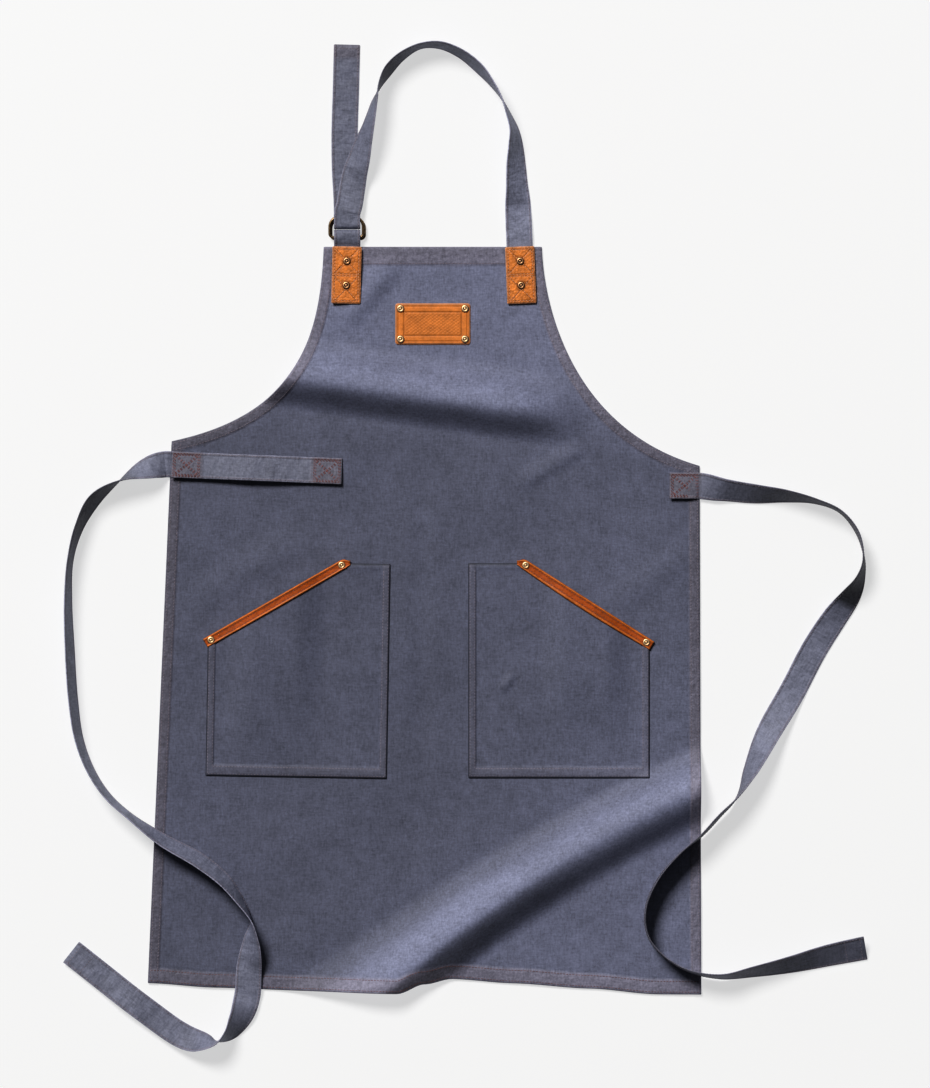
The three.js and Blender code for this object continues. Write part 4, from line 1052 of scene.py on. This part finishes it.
def tab_tooling(x, y, inset):
    """Sunken stitch lines round the edge, across the middle and in a cross in each half.

    Two rounds about the rivets are dark and aren't sunk.
    """
    middle = np.abs(y)
    cross = [np.abs((middle - TAB_LENGTH / 4) * 0.8 + k * x * 0.85) for k in (-1, 1)]
    inside = np.where(inset > TAB_STITCH, np.minimum(*cross), 1.0)
    sunk = (inset - TAB_STITCH, middle - TAB_MIDDLE, inside)
    lines = np.maximum.reduce([bell(line, 0.0008) for line in sunk])
    rivet_at = TAB_LENGTH / 2 - TAB_RIVET_TOP
    rounds = [np.hypot(x, y - rivet_at + row * TAB_RIVET_SPACING) - RIVET_ROUND for row in (0, 1)]
    pressed = np.maximum.reduce([bell(ring, 0.0012) for ring in rounds])
    return 0.00045 * lines, np.maximum(0.8 * lines, 0.7 * pressed)


def badge_centre():
    return np.array([0.0, BODY_LENGTH - BADGE_BELOW_TOP])


def make_badge():
    """The badge as one tooled plate on the bib."""
    finish = finished("smooth_leather", leather_finish, "leather", "leather_edge", 0.0016, 0.00012, 0.3)
    make_plate("badge_leather", "badge", (BADGE_WIDTH, BADGE_HEIGHT), 0.003, badge_tooling, ON_CLOTH,
               badge_centre(), 0, finish)


def tab_place(side, down):
    """A place on a tab's middle line, down from its upper edge."""
    turn = np.radians(TABS[side]["turn"])
    return TABS[side]["x"] + down * np.sin(turn), BODY_LENGTH + TAB_OVERHANG - down * np.cos(turn)


def tab_foot(side):
    return ON_CLOTH + TABS[side]["layers"] * STRAP_STEP


def make_tab(side):
    """A pebbled tab, stitched round its edge, twice across its middle and in a cross in each half."""
    centre, turn = tab_place(side, TAB_LENGTH / 2), TABS[side]["turn"]
    finish = finished("pebbled_leather", leather_finish, "leather", "leather_edge", 0.0028, 0.0006, 0.75)
    make_plate(f"tab_leather_{side}", f"strap_tab_{side}", (TAB_WIDTH, TAB_LENGTH), 0.0015, tab_tooling,
               tab_foot(side), centre, turn, finish)
    w, h = TAB_WIDTH / 2 - TAB_STITCH, TAB_LENGTH / 2 - TAB_STITCH
    lines = [[(-w, -h), (w, -h), (w, h), (-w, h), (-w, -h)]]
    lines += [[(-w, at), (w, at)] for at in (TAB_MIDDLE, -TAB_MIDDLE)]
    for sign in (-1, 1):
        low, high = sorted((sign * 0.0026, sign * (h - 0.001)))
        lines += [[(-w + 0.001, a), (w - 0.001, b)] for a, b in ((low, high), (high, low))]
    flats = [dense(np.array(line)) for line in lines]
    foot = tab_foot(side) + LEATHER_WALL - 0.0002
    lines = [placed(flat[:, 0], flat[:, 1], np.full(len(flat), foot), centre, turn) for flat in flats]
    sewn(f"tab_stitches_{side}", lines, "tab_thread")


def dense(line, step=0.001):
    """More points along the straight stretches of a line."""
    run = run_along(line)
    at = np.linspace(0, run[-1], max(2, int(run[-1] / step)))
    return np.stack([np.interp(at, run, line[:, k]) for k in range(line.shape[1])], -1)


# Rivets


def rivet_part(foot):
    """A domed head with a raised middle in a groove, a shank, and a flat cap under the canvas."""
    r, h = RIVET_HEAD / 2, RIVET_HEIGHT
    shank, cap, cap_top = RIVET_SHANK / 2, RIVET_CAP / 2, HEM_EXTRA - SEAM
    profile = [
        (0, foot + h), (0.16 * r, foot + h), (0.27 * r, foot + 0.92 * h), (0.32 * r, foot + 0.62 * h),
        (0.4 * r, foot + 0.56 * h), (0.48 * r, foot + 0.72 * h), (0.62 * r, foot + 0.8 * h),
        (0.78 * r, foot + 0.7 * h), (0.92 * r, foot + 0.45 * h), (r, foot + 0.18 * h), (r, foot),
        (shank, foot), (shank, cap_top), (cap - 0.0003, cap_top), (cap, HEM_EXTRA / 2), (cap - 0.0003, 0.0),
        (0, 0.0),
    ]
    part = lathe(profile, 36)
    reach, z = part["marks"]["reach"] / r, part["points"][:, 2]
    head = z > foot + 0.1 * h
    ring = bell(reach - 0.38, 0.1) + smooth((reach - 0.82) / 0.18)
    part["marks"]["groove"] = np.where(head, ring, 0.4)
    return part


def make_rivets(prefix, places, foot_of, finish):
    """Rivets at named places, each over its own node."""
    for end, place in places.items():
        part = rivet_part(foot_of(end))
        part["points"] = part["points"] + np.array([*place, 0.0])
        make_piece(f"{prefix}_stud_{end}", part, finish, [f"{prefix}_rivet_{end}"])


# Straps

# Places across a strap as shares of half its width, and the stitch lines among them
STRAP_SECTION = np.array([-1, -0.95, -0.86, -0.76, -0.5, -0.2, 0.2, 0.5, 0.76, 0.86, 0.95, 1])
STRAP_STITCH = 0.86
STRAP_EDGE = 0.97
TIE_STEPS = 420
NECK_STEPS = 360
TIE_END_SEAMS = (0.005, 0.024)
# The sewn ends' boxes, and how the towel loop and the right tie's end tilt up at their lower edges
BOX_INSET = 0.0022
BOX_LENGTH = SEWN_LENGTH - 0.0035
BOX_ROUNDS = (1.0, 0.92, 0.84)
BOX_CROSS_LINES = (-0.0012, 0, 0.0012)
SEWN_TILT = 7
TILT_SLOPE = np.tan(np.radians(SEWN_TILT))
SEWN_LIFT = STRAP_WIDTH / 2 * TILT_SLOPE
LOOP_TURN = np.radians(-2.3)
LOOP_AHEAD = np.array([np.cos(LOOP_TURN), np.sin(LOOP_TURN)])
LOOP_START = np.array([-SIDES["left"]["chest"], BODY_LENGTH - SIDES["left"]["armhole"] - 0.028])
RIGHT_AHEAD = np.array([1.0, -np.tan(np.radians(0.5))])


def centripetal(points, count):
    """A centripetal Catmull-Rom curve through points, with count steps shared evenly among its spans."""
    points = np.asarray(points, float)
    ends = [2 * points[0] - points[1], 2 * points[-1] - points[-2]]
    line = np.concatenate([ends[:1], points, ends[1:]])
    share = np.linspace(0, len(points) - 1, count + 1)
    span = np.minimum(share.astype(int), len(points) - 2)
    t = (share - span)[:, None]
    p0, p1, p2, p3 = (line[span + k] for k in range(4))
    gap = lambda a, b: np.maximum(np.sqrt(np.linalg.norm(b - a, axis=1, keepdims=True)), 1e-4)
    d0, d1, d2 = gap(p0, p1), gap(p1, p2), gap(p2, p3)
    m1 = ((p1 - p0) / d0 - (p2 - p0) / (d0 + d1) + (p2 - p1) / d1) * d1
    m2 = ((p2 - p1) / d1 - (p3 - p1) / (d1 + d2) + (p3 - p2) / d2) * d1
    return p1 + m1 * t + (3 * (p2 - p1) - 2 * m1 - m2) * t**2 + (2 * (p1 - p2) + m1 + m2) * t**3


def even(values, count):
    """A uniform Catmull-Rom curve through values, with count steps."""
    values = np.asarray(values, float)
    share = np.linspace(0, len(values) - 1, count + 1)
    span = np.minimum(share.astype(int), len(values) - 2)
    t = share - span
    pick = lambda k: values[np.clip(span + k, 0, len(values) - 1)]
    v0, v1, v2, v3 = pick(-1), pick(0), pick(1), pick(2)
    m1, m2 = (v2 - v0) / 2, (v3 - v1) / 2
    return v1 + m1 * t + (3 * (v2 - v1) - 2 * m1 - m2) * t**2 + (2 * (v1 - v2) + m1 + m2) * t**3


def lying(rows, count, rise=0.0):
    """Points and rolls of a strap on the ground, raised as far as its roll needs."""
    rows = np.asarray(rows, float)
    flat = centripetal(rows[:, :2], count)
    roll = even(rows[:, 2], count)
    over = even(rows[:, 3], count) * rise if rows.shape[1] > 3 else 0.0
    turn = np.radians(roll)
    stand = (np.abs(np.sin(turn)) * STRAP_WIDTH + np.abs(np.cos(turn)) * STRAP_WALL) / 2
    z = ground(flat[:, 0], flat[:, 1]) + stand + over
    return np.concatenate([flat, z[:, None]], 1), roll


def strap_frame(points, roll):
    """Along each strap its side and its normal. The side keeps its sense where the strap turns back."""
    ends = np.concatenate([points[:1], points, points[-1:]])
    ahead = unit(ends[2:] - ends[:-2])
    level = np.stack([-ahead[:, 1], ahead[:, 0], np.zeros(len(ahead))], -1)
    size = np.linalg.norm(level, axis=1)
    held = np.maximum.accumulate(np.where(size > 0.5, np.arange(len(size)), 0))
    level = level[held] / size[held][:, None]
    turns = np.sign(np.sum(level[1:] * level[:-1], axis=1))
    side = level * np.r_[1.0, np.cumprod(np.where(turns < 0, -1.0, 1.0))][:, None]
    up = np.cross(ahead, side)
    turn = np.radians(roll)[:, None]
    return side * np.cos(turn) + up * np.sin(turn), up * np.cos(turn) - side * np.sin(turn)


def strap_seams(points, across, normal, run, end_seams):
    """Lines and normals of a strap's stitches: along both edges and across near its end, on both faces."""
    lines, normals = [], []
    for at in (-STRAP_STITCH, STRAP_STITCH):
        edge = points + across * at * (STRAP_WIDTH / 2)
        lines += [edge + normal * face * (STRAP_WALL / 2 * 0.75) for face in (-1, 1)]
        normals += [-normal, normal]
    for from_end in end_seams:
        at = run[-1] - from_end
        centre = np.array([np.interp(at, run, points[:, k]) for k in range(3)])
        nearest = int(np.argmin(np.abs(run - at)))
        span = np.linspace(-STRAP_STITCH, STRAP_STITCH, 30)[:, None] * STRAP_WIDTH / 2
        seam = centre + across[nearest] * span
        lines += [seam + normal[nearest] * face * STRAP_WALL / 2 for face in (-1, 1)]
        normals += [-normal[nearest], normal[nearest]]
    return lines, normals


def make_strap(name, node, points, roll, sewn_spans=(), end_seams=(), worn=((0, 1),)):
    """A ribbon of doubled canvas along its points: grooved along its stitches and thin at its edges."""
    across, normal = strap_frame(points, roll)
    run = run_along(points)
    away = np.abs(STRAP_SECTION)
    half = STRAP_WALL / 2 * (1 - 0.3 * bell(away - STRAP_STITCH, 0.05) - 0.25 * (away > STRAP_EDGE))
    reach = STRAP_SECTION * (STRAP_WIDTH / 2 - 0.0005)
    middle = points[:, None] + across[:, None] * reach[None, :, None]
    lift = normal[:, None] * half[None, :, None]
    sewn_mark = np.zeros(len(run))
    for low, high in sewn_spans:
        sewn_mark = np.maximum(sewn_mark, smooth((run - low) / 0.003 + 1) * smooth((high - run) / 0.003 + 1))
    # worn carries painted light and shade along the strap
    light = np.interp(np.linspace(0, 1, len(run)), *zip(*worn))
    marks = {"edge": away > 0.8, "rim": away > STRAP_EDGE, "worn": light[:, None], "hem": sewn_mark[:, None]}
    marks = {mark: np.broadcast_to(values * 1.0, middle.shape[:2]) for mark, values in marks.items()}
    uv = np.stack(np.broadcast_arrays(reach[None], run[:, None]), -1)
    part = wall(middle + lift, middle - lift, uv, marks, bulge=0.0005, flip=True)
    piece = make_piece(name, part, finished("doubled_canvas", strap_finish), [node])
    lines, normals = strap_seams(points, across, normal, run, end_seams)
    sewn(f"{name}_stitches", lines, "pale_thread", normals)


def box_stitches(name, start, ahead, height):
    """A box along a strap, sewn round three times with three lines in each diagonal, at heights of places."""
    side = np.array([-ahead[1], ahead[0]]) * (STRAP_WIDTH / 2 - BOX_INSET)
    end = start + ahead * BOX_LENGTH
    corners = np.array([start + side, end + side, end - side, start - side])
    centre = corners.mean(0)
    flats = [centre + (np.r_[corners, corners[:1]] - centre) * scale for scale in BOX_ROUNDS]
    for ends in ([0, 2], [1, 3]):
        diagonal = corners[ends[1]] - corners[ends[0]]
        aside = np.array([-diagonal[1], diagonal[0]]) / np.hypot(*diagonal)
        crossed = centre + (corners[ends] - centre) * BOX_ROUNDS[-1]
        flats += [crossed + aside * shift for shift in BOX_CROSS_LINES]
    flats = [dense(flat) for flat in flats]
    sewn(name, [np.c_[flat, height(flat[:, 0], flat[:, 1])] for flat in flats], "rust_thread")


def painted_light_along(table, sewn_rows, rows, part=1.0):
    """Painted light and shade of a strap at shares of its length, from rows of its table."""
    return [((row + sewn_rows) / (len(rows) - 1) * part, tone) for row, tone in table]


def loop_place(along):
    """Places along the towel loop's middle, in from the body's left edge."""
    return LOOP_START + np.asarray(along, float)[..., None] * LOOP_AHEAD


def make_towel_loop():
    """A strap that is level over its sewn ends and arches between them, tilted up at its lower edge."""
    along = np.linspace(0, LOOP_LENGTH, 140)
    share = np.clip((along - SEWN_LENGTH) / (LOOP_LENGTH - 2 * SEWN_LENGTH), 0, 1)
    level = STRAP_STEP * (1 - smooth(share))
    arch = 0.55 * LOOP_GAPE * smooth(share / 0.45) * smooth((1 - share) / 0.45)
    flat = loop_place(along)
    z = ON_CLOTH + STRAP_WALL / 2 + level + arch + SEWN_LIFT + relief(flat[:, 0], flat[:, 1])
    spans = [(0, SEWN_LENGTH), (LOOP_LENGTH - SEWN_LENGTH, LOOP_LENGTH)]
    make_strap("towel_strap", "towel_loop", np.c_[flat, z], np.full(140, -float(SEWN_TILT)), spans)

    def top(layer):
        """The height of the loop's upper face on a layer, as a function of places."""
        def height(x, y):
            below = LOOP_START[1] + (x - LOOP_START[0]) * np.tan(LOOP_TURN) - y
            return ON_CLOTH + STRAP_WALL + layer + SEWN_LIFT + below * TILT_SLOPE + relief(x, y) + 0.0001
        return height

    box_stitches("towel_box_outer", loop_place(0.0015), LOOP_AHEAD, top(STRAP_STEP))
    box_stitches("towel_box_inner", loop_place(LOOP_LENGTH - SEWN_LENGTH + 0.002), LOOP_AHEAD, top(0.0))


def make_left_tie():
    """The left tie, whose sewn end lies under the towel loop."""
    start = loop_place([SEWN_LENGTH - 0.002, SEWN_LENGTH / 2, 0, -0.008])
    rows = np.concatenate([np.c_[start, np.zeros(4)], LEFT_TIE * [BODY_WIDTH, BODY_LENGTH, 1]])
    make_strap("tie_left", "waist_tie_left", *lying(rows, TIE_STEPS), end_seams=TIE_END_SEAMS,
               worn=painted_light_along(LEFT_PAINTED_LIGHT, 4, rows))


def make_right_tie():
    """The right tie, sewn on in a box with a cross, its sewn end tilted up at its lower edge."""
    share = np.array([1, 0.5, 0])
    side = SIDES["right"]
    x = side["chest"] - share * SEWN_LENGTH
    y = BODY_LENGTH - side["armhole"] - 0.024 - share * SEWN_LENGTH * RIGHT_AHEAD[1]
    start = np.stack([x, y, [-SEWN_TILT, -SEWN_TILT, 0]], -1)
    rows = np.concatenate([start, RIGHT_TIE * [BODY_WIDTH, BODY_LENGTH, 1]])
    make_strap("tie_right", "waist_tie_right", *lying(rows, TIE_STEPS), [(0, SEWN_LENGTH)], TIE_END_SEAMS,
               painted_light_along(RIGHT_PAINTED_LIGHT, 3, rows))

    def top(x, y):
        tilt = np.interp(x, start[1:, 0], [TILT_SLOPE, 0])
        below = np.interp(x, start[:, 0], start[:, 1]) - y
        return cloth_height(x, y) + SEAM + STRAP_WALL + tilt * (STRAP_WIDTH / 2 + below) + 0.0002

    box_stitches("tie_box_right", start[0, :2] + RIGHT_AHEAD * 0.0018, RIGHT_AHEAD, top)


# Rings and the straps round them

RING_LOW = STRAP_WALL + SEAM + RING_WIRE / 2
RING_HIGH = RING_LOW + RING_WIRE + SEAM
TURN_TOP = RING_HIGH + RING_WIRE / 2 + SEAM + STRAP_WALL / 2
TURN_RADIUS = (TURN_TOP - STRAP_WALL / 2) / 2
RING_X = TABS["left"]["x"]
RING_BAR = BODY_LENGTH + 0.011
NECK_TURN = RING_BAR + RING_HEIGHT - RING_WIRE - 0.008
ANCHOR_TURN = RING_BAR + 0.0046
ANCHOR_OPENS = 0.007
RING_SHIFT = 0.0009
NECK_SNUG = 0.0017
ANCHOR_SNUG = 0.0005
# Corners of a ring's rounded rectangle: sides of its middle and of its height, radius, first direction
RING_CORNERS = [(1, 0, 0.005, -90), (1, 1, 0.013, 0), (-1, 1, 0.013, 90), (-1, 0, 0.005, 180)]


def half_turn(x, y, sign):
    """Half a circle down from the upper run to the lower one, bulging along Y."""
    angle = np.linspace(0, np.pi, 15)
    z = TURN_TOP - TURN_RADIUS + TURN_RADIUS * np.cos(angle)
    return np.stack([np.full(15, x), y + sign * TURN_RADIUS * np.sin(angle), z], -1)


def make_neck_strap():
    """From under the right tab over the neck to the rings, round them, and back under itself as the tail."""
    start = [(*tab_place("right", down), 0, 0) for down in (SEWN_UNDER_TAB, SEWN_UNDER_TAB / 2, 0, -0.020)]
    route = NECK * [BIB_WIDTH, NECK_HEIGHT, 1, 1] + [0, BODY_LENGTH, 0, 0]
    to_rings = [(RING_X, NECK_TURN + 0.012, 0, 1), (RING_X, NECK_TURN + 0.001, 0, 1)]
    table = np.concatenate([start, route, to_rings])
    points, roll = lying(table, NECK_STEPS, TURN_TOP - STRAP_WALL / 2)
    near = (points[:, 0] < 0) & (points[:, 1] < NECK_TURN + 0.014)
    points[near, 2] = TURN_TOP
    turn = half_turn(RING_X, NECK_TURN - NECK_SNUG, -1)
    tail = np.concatenate([[(RING_X, NECK_TURN + 0.002)], TAIL * [BIB_WIDTH, TAIL_LENGTH] + [0, NECK_TURN]])
    tail = centripetal(tail, 60)
    points = np.concatenate([points, turn, np.c_[tail, np.full(len(tail), STRAP_WALL / 2)]])
    roll = np.r_[roll, np.zeros(len(turn) + len(tail))]
    length = float(run_along(points)[-1])
    # painted light and shade along the neck strap
    worn = painted_light_along(NECK_PAINTED_LIGHT, 4, table, NECK_STEPS / (len(points) - 1))
    make_strap("neck_canvas", "neck_strap", points, roll, [(length - 0.016, length)], (0.004,), worn)


def make_anchor():
    """The short strap folded round the rings' bars, its two legs under the left tab."""
    def leg(z, end):
        downs = [SEWN_UNDER_TAB, SEWN_UNDER_TAB / 2, 0, -0.0015, -ANCHOR_OPENS]
        heights = [z, z, z, mix(z, end, 0.15), end]
        return np.array([(*tab_place("left", down), height) for down, height in zip(downs, heights)])

    low = ON_CLOTH + STRAP_WALL / 2
    upper, lower = leg(low + STRAP_STEP, TURN_TOP), leg(low, STRAP_WALL / 2)[::-1]
    turn = half_turn(RING_X, ANCHOR_TURN + ANCHOR_SNUG, 1)
    line = np.concatenate([dense(upper, 0.003), turn, dense(lower, 0.003)])
    make_strap("anchor_canvas", "buckle_anchor", line, np.zeros(len(line)))


def make_ring(name, z, shift_x, shift_y):
    """Round wire along a rounded rectangle, small corners at the bar and wide ones at the arc."""
    half, height = (RING_WIDTH - RING_WIRE) / 2, RING_HEIGHT - RING_WIRE
    centres, outs = [], []
    for side, upper, radius, start in RING_CORNERS:
        turn = np.radians(start + np.linspace(0, 90, 13))
        out = np.stack([np.cos(turn), np.sin(turn), np.zeros(13)], -1)
        middle = np.array([side * (half - radius), height - radius if upper else radius, 0])
        centres.append(middle + radius * out)
        outs.append(out)
    centres = np.concatenate(centres) + [RING_X + shift_x, RING_BAR + shift_y, z]
    part = tube(centres, np.concatenate(outs), RING_WIRE / 2, 16)
    finish = finished("dark_brass", metal_finish, "brass", 0.36, 0.78)
    make_piece(f"{name}_wire", part, finish, [name])


# Stage

# The photograph's frame is 1.3274 m high, centred at this place of the model's frame
PHOTO_HEIGHT = 1.3274
PHOTO_CENTRE = (-0.0003, 0.0031)
FLOOR_REACH = 14.0
FLOOR_GLOW = 0.662
SENSOR = 36.0
SKY = 0.07
# Name, place, width and watts of the lights
LIGHTS = [("key", (-8.4, 13.5, 17.1), 8.4, 6250.0), ("fill", (5.6, 9.0, 9.0), 9.0, 60.0)]


def make_stage():
    """A pale floor, a camera straight above, a soft light from the upper left and an even pale sky."""
    scene = bpy.context.scene
    sizes, colours = scene.apron_sizes, scene.apron_colours
    mesh = bpy.data.meshes.new("floor")
    corners = [(-1, -1, 0), (1, -1, 0), (1, 1, 0), (-1, 1, 0)]
    mesh.from_pydata((np.array(corners) * FLOOR_REACH).tolist(), [], [(0, 1, 2, 3)])
    paint = Paint("floor_paper")
    cloud = paint.noise(paint.place(), 3.0, 1.0)
    shade = paint.toned(tuple(colours.floor), 0.99 + cloud * 0.02)
    paint.finish(base_color=shade, roughness=0.9, specular_ior_level=0.0, emission_color=(1, 1, 1, 1),
                 emission_strength=FLOOR_GLOW)
    mesh.materials.append(paint.material)
    floor = bpy.data.objects.new("floor", mesh)
    floor.location = (0, 0, -0.0004)
    scene.collection.objects.link(floor)

    camera = bpy.data.cameras.new("camera")
    camera.sensor_width = SENSOR
    camera.lens = SENSOR * sizes.camera_height / PHOTO_HEIGHT
    camera.clip_end = 100.0
    eye = bpy.data.objects.new("camera", camera)
    eye.location = (*PHOTO_CENTRE, sizes.camera_height)
    scene.collection.objects.link(eye)
    scene.camera = eye

    for name, place, size, energy in LIGHTS:
        lamp = bpy.data.lights.new(name, "AREA")
        lamp.shape = "DISK"
        lamp.size = size
        lamp.energy = energy
        lamp.color = (1.0, 0.985, 0.965)
        holder = bpy.data.objects.new(name, lamp)
        holder.location = place
        aim = -np.array(place) / np.linalg.norm(place)
        holder.rotation_euler = (np.arccos(-aim[2]), 0, np.arctan2(aim[1], aim[0]) - np.pi / 2)
        holder.visible_camera = False
        scene.collection.objects.link(holder)

    world = bpy.data.worlds.new("sky")
    world.use_nodes = True
    sky = world.node_tree.nodes["Background"].inputs
    sky["Color"].default_value = (0.93, 0.95, 1.0, 1.0)
    sky["Strength"].default_value = SKY
    scene.world = world
    scene.view_settings.view_transform = "Standard"
    scene.view_settings.look = "None"
    scene.view_settings.gamma = 0.75


# Operators


class APRON_OT_stage(bpy.types.Operator):
    """Adds the floor, the camera and the lights"""

    bl_idname = "apron.stage"
    bl_label = "Stage"

    def execute(self, context):
        make_stage()
        return {"FINISHED"}


class APRON_OT_body(bpy.types.Operator):
    """Adds the canvas body with its folds, hems and stitches"""

    bl_idname = "apron.body"
    bl_label = "Canvas body"

    def execute(self, context):
        make_body()
        return {"FINISHED"}


class APRON_OT_pockets(bpy.types.Operator):
    """Adds both pockets with their leather trims"""

    bl_idname = "apron.pockets"
    bl_label = "Pockets"

    def execute(self, context):
        for side in POCKETS:
            make_pocket(side)
            make_trim(side)
        return {"FINISHED"}


class APRON_OT_leather(bpy.types.Operator):
    """Adds the badge and both strap tabs"""

    bl_idname = "apron.leather"
    bl_label = "Badge and tabs"

    def execute(self, context):
        make_badge()
        for side in TABS:
            make_tab(side)
        return {"FINISHED"}


class APRON_OT_rivets(bpy.types.Operator):
    """Adds all rivets"""

    bl_idname = "apron.rivets"
    bl_label = "Rivets"

    def execute(self, context):
        bright = finished("bright_brass", metal_finish, "brass", 0.42, -0.1)
        worn = finished("antique_brass", metal_finish, "worn_brass", 0.38, 0.2)
        corner = np.array([BADGE_WIDTH, BADGE_HEIGHT]) / 2 - BADGE_RIVET
        badge = {f"{side}_{end}": badge_centre() + corner * [across, up]
                 for side, across in (("left", -1), ("right", 1)) for end, up in (("top", 1), ("low", -1))}
        make_rivets("badge", badge, lambda end: ON_CLOTH + LEATHER_WALL + SEAM, bright)
        tabs = {f"{side}_{end}": tab_place(side, down) for side in TABS
                for end, down in (("top", TAB_RIVET_TOP), ("low", TAB_RIVET_TOP + TAB_RIVET_SPACING))}
        make_rivets("tab", tabs, lambda end: tab_foot(end.split("_")[0]) + LEATHER_WALL + SEAM, worn)
        pockets = {f"{side}_{end}": pocket_place(pocket, across, mouth_line(pocket, across))
                   for side, pocket in POCKETS.items()
                   for end, across in (("out", MOUTH_OUT), ("in", mouth_in(pocket)))}
        trim_top = ON_CLOTH + CLOTH_WALL + LEATHER_WALL + 2 * SEAM
        make_rivets("pocket", pockets, lambda end: trim_top, bright)
        return {"FINISHED"}


class APRON_OT_straps(bpy.types.Operator):
    """Adds the towel loop, both waist ties, the neck strap and its anchor"""

    bl_idname = "apron.straps"
    bl_label = "Straps"

    def execute(self, context):
        make_towel_loop()
        make_left_tie()
        make_right_tie()
        make_neck_strap()
        make_anchor()
        return {"FINISHED"}


class APRON_OT_rings(bpy.types.Operator):
    """Adds the two D-rings of the neck strap"""

    bl_idname = "apron.rings"
    bl_label = "Rings"

    def execute(self, context):
        make_ring("ring_lower", RING_LOW, RING_SHIFT, -RING_SHIFT)
        make_ring("ring_upper", RING_HIGH, -RING_SHIFT, RING_SHIFT)
        return {"FINISHED"}


OPERATORS = [APRON_OT_stage, APRON_OT_body, APRON_OT_pockets, APRON_OT_leather, APRON_OT_rivets,
             APRON_OT_straps, APRON_OT_rings]


class APRON_PT_panel(bpy.types.Panel):
    """Lists the apron's settings and the steps that build it"""

    bl_label = "Grill Apron"
    bl_idname = "APRON_PT_panel"
    bl_space_type = "VIEW_3D"
    bl_region_type = "UI"
    bl_category = "Apron"

    def draw(self, context):
        for group in (context.scene.apron_sizes, context.scene.apron_colours):
            for name in group.__annotations__:
                self.layout.prop(group, name)
        for operator in OPERATORS:
            self.layout.operator(operator.bl_idname)


CLASSES = [ApronSizes, ApronColours, *OPERATORS, APRON_PT_panel]


def register():
    for cls in CLASSES:
        bpy.utils.register_class(cls)
    bpy.types.Scene.apron_sizes = PointerProperty(type=ApronSizes)
    bpy.types.Scene.apron_colours = PointerProperty(type=ApronColours)


def unregister():
    del bpy.types.Scene.apron_colours
    del bpy.types.Scene.apron_sizes
    for cls in reversed(CLASSES):
        bpy.utils.unregister_class(cls)


def main():
    """Registers the add-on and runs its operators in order."""
    register()
    for operator in OPERATORS:
        group, name = operator.bl_idname.split(".")
        getattr(getattr(bpy.ops, group), name)()


if __name__ == "__main__":
    main()
